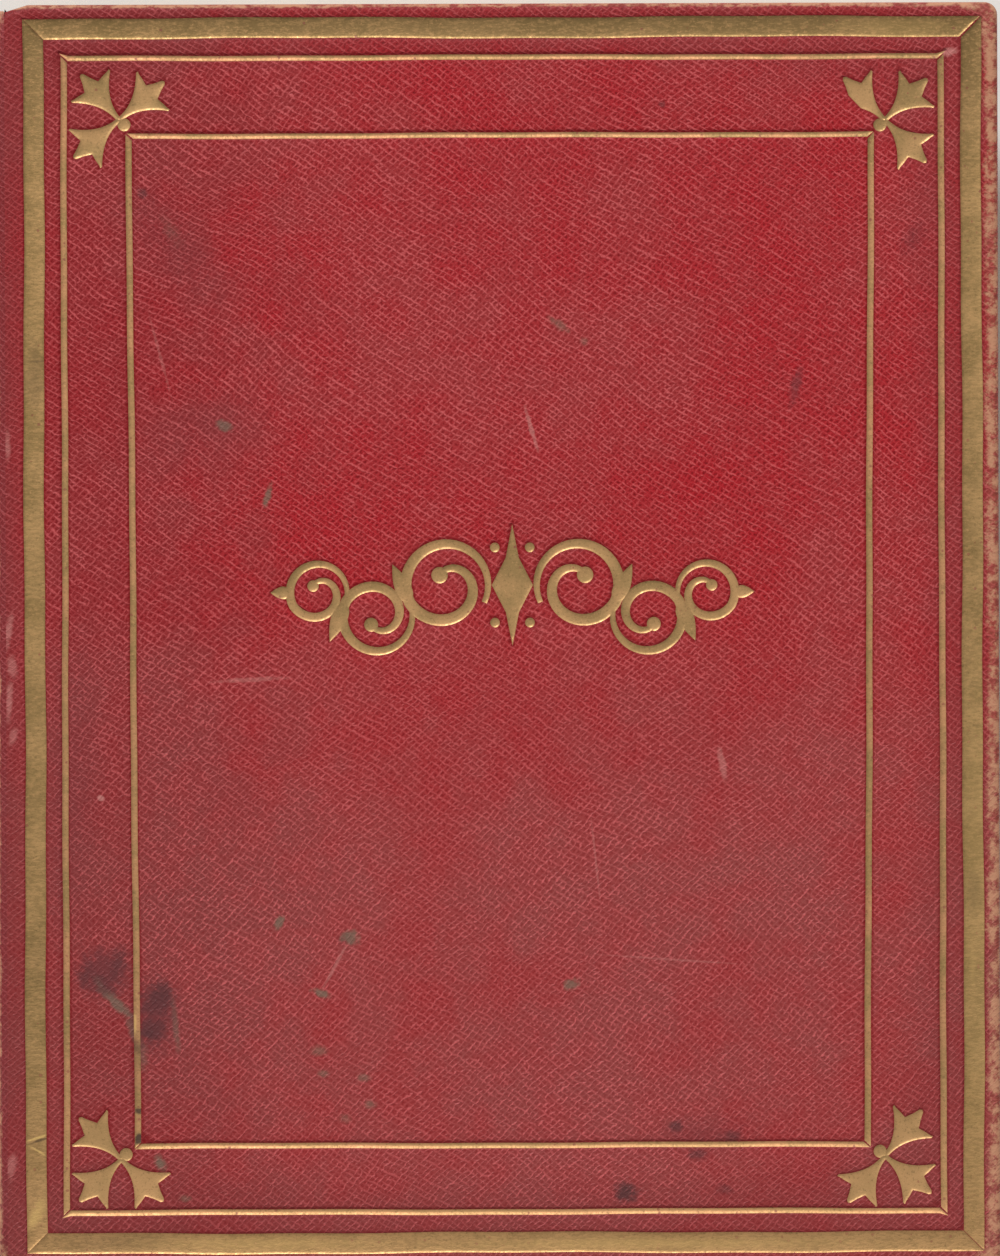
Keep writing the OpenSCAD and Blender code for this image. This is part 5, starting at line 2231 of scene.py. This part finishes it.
def dress_covers(album: Album, effects: Effects) -> None:
    """Builds both covers' leather and the gold on the front one.

    Args:
        album: the shared sizes.
        effects: the shared effects.
    """
    low, high = (album.board_x - BESIDE_BOARD, -album.half_h, 0.0), (album.fore_x, album.half_h, 1.0)
    middle = ((album.hinge_x + album.fore_x) / 2, 0.0, 0.0)
    front = LeatherFinish("front_cover_leather", EdgeReach(0.5, 2.5, 1.1, 0.85), FRONT_MARKS)
    back = LeatherFinish("back_cover_leather", EdgeReach(0.9, 2.0, 1.4, 1.4))
    fillet = {"gold": (197, 145, 103), "rough": 0.58, "metallic": 0.7, "lost": 0.2, "creased": 0.2}
    tool = {"gold": (197, 154, 104), "metallic": 0.7, "creased": 0.0}
    finishes = {
        Gilt.BAND: GiltFinish("band_gold", flaws_and_highlights=GOLD_FLAWS_AND_HIGHLIGHTS, head_darkening=0.55),
        Gilt.OUTER: GiltFinish("outer_fillet_gold", **fillet),
        Gilt.INNER: GiltFinish("inner_fillet_gold", flaws_and_highlights=GOLD_FLAWS_AND_HIGHLIGHTS, **fillet),
        Gilt.CORNERS: GiltFinish("corner_tool_gold", **tool),
        Gilt.ORNAMENT: GiltFinish("ornament_gold", **tool),
    }
    gold = {kind: finish.material(effects, middle) for kind, finish in finishes.items()}
    tooling = Tooling(album)
    Cover(album, Side.FRONT, tooling).dress(front.material(effects, low, high, middle, album.thick), gold)
    Cover(album, Side.BACK, tooling).dress(back.material(effects, low, high, middle, 0.0), {})


def dress_spine(album: Album, effects: Effects) -> None:
    """Builds the spine, both joints and the silk bands.

    Args:
        album: the shared sizes.
        effects: the shared effects.
    """
    spine = Spine(album)
    gold = GiltFinish("spine_gold", lost=0.5, rough=0.5).material(effects)
    darker = {"red": (150, 32, 40), "faded": (136, 58, 60), "side_wear": 1.0}
    leather = LeatherFinish("spine_leather", EdgeReach(1.0, 1.0, 1.3, 1.3), **darker)
    joint = LeatherFinish("joint_leather", EdgeReach(1.1, 1.0, 1.6, 1.6), **darker)
    inner = (album.spine_x + CLEAR_INSIDE, album.half_h, 1.0)
    outer = (album.spine_x - CLEAR_OUTSIDE, -album.half_h, 0.0)
    joint_end = (album.hinge_x - spine.joint_gap, -album.half_h, 0.0)
    spine.dress(leather.material(effects, outer, inner), joint.material(effects, joint_end, inner), gold)
    silks = [SilkFinish("red_silk", (178, 40, 52), (112, 18, 30)).material(effects),
             SilkFinish("cream_silk", (226, 212, 178), (168, 148, 108)).material(effects)]
    HeadBands(album, spine).dress(silks)


def dress_leaves(album: Album, effects: Effects) -> None:
    """Builds the window leaves.

    Args:
        album: the shared sizes.
        effects: the shared effects.
    """
    card = PaperFinish("mat_card", spots=0.04).material(effects)
    line = GiltFinish("printed_gold", rough=0.4, lost=0.05, creased=0.0).material(effects)
    edge = GiltFinish("gilt_edge", gold=(206, 168, 96), dull=(178, 142, 80), rough=0.3, lost=0.1,
                      creased=0.0).material(effects)
    core = PaperFinish("core_card", light=(206, 196, 170), toned=(180, 168, 140), rough=0.65,
                       gilt_edges=True).material(effects)
    linen = ClothFinish("guard_linen").material(effects)
    Leaves(album).dress(card, line, edge, core, linen)


def coat_inner_pieces(effects: Effects) -> None:
    """Gives the papers, boards, stubs and cloths inside the album their materials.

    Args:
        effects: the shared effects.
    """
    endpaper = PaperFinish("endpaper", light=(238, 228, 196), toned=(220, 204, 164), rough=0.35,
                           spots=0.1, gilt_edges=True).material(effects)
    for node in ("front_pastedown", "back_pastedown"):
        coat(node, PaperFinish(f"{node}_paper", light=(236, 226, 194), toned=(216, 200, 160), rough=0.35,
                               spots=0.1).material(effects))
    for node in ("front_flyleaf", "back_flyleaf"):
        coat(node, endpaper)
    board = BoardFinish("millboard").material(effects)
    for node in ("front_board", "back_board", "spine_lining"):
        coat(node, board)
    coat("stub_guards", PaperFinish("stub_card", rough=0.6, gilt_edges=True).material(effects))
    for node in ("sewing_tapes", "spine_mull"):
        coat(node, ClothFinish(f"{node}_cloth", pitch=0.6).material(effects))
    coat("sewing_thread", ClothFinish("thread", pitch=0.2).material(effects))


def main() -> None:
    """Builds the album's looks in order, from the covers to the studio."""
    logging.basicConfig(level=logging.INFO, format="%(name)s: %(message)s")
    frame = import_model()
    album = Album.from_frame(frame["record"])
    effects = Effects()
    dress_covers(album, effects)
    dress_spine(album, effects)
    dress_leaves(album, effects)
    coat_inner_pieces(effects)
    Studio(album).build(FloorFinish().material(effects))


if __name__ == "__main__":
    main()
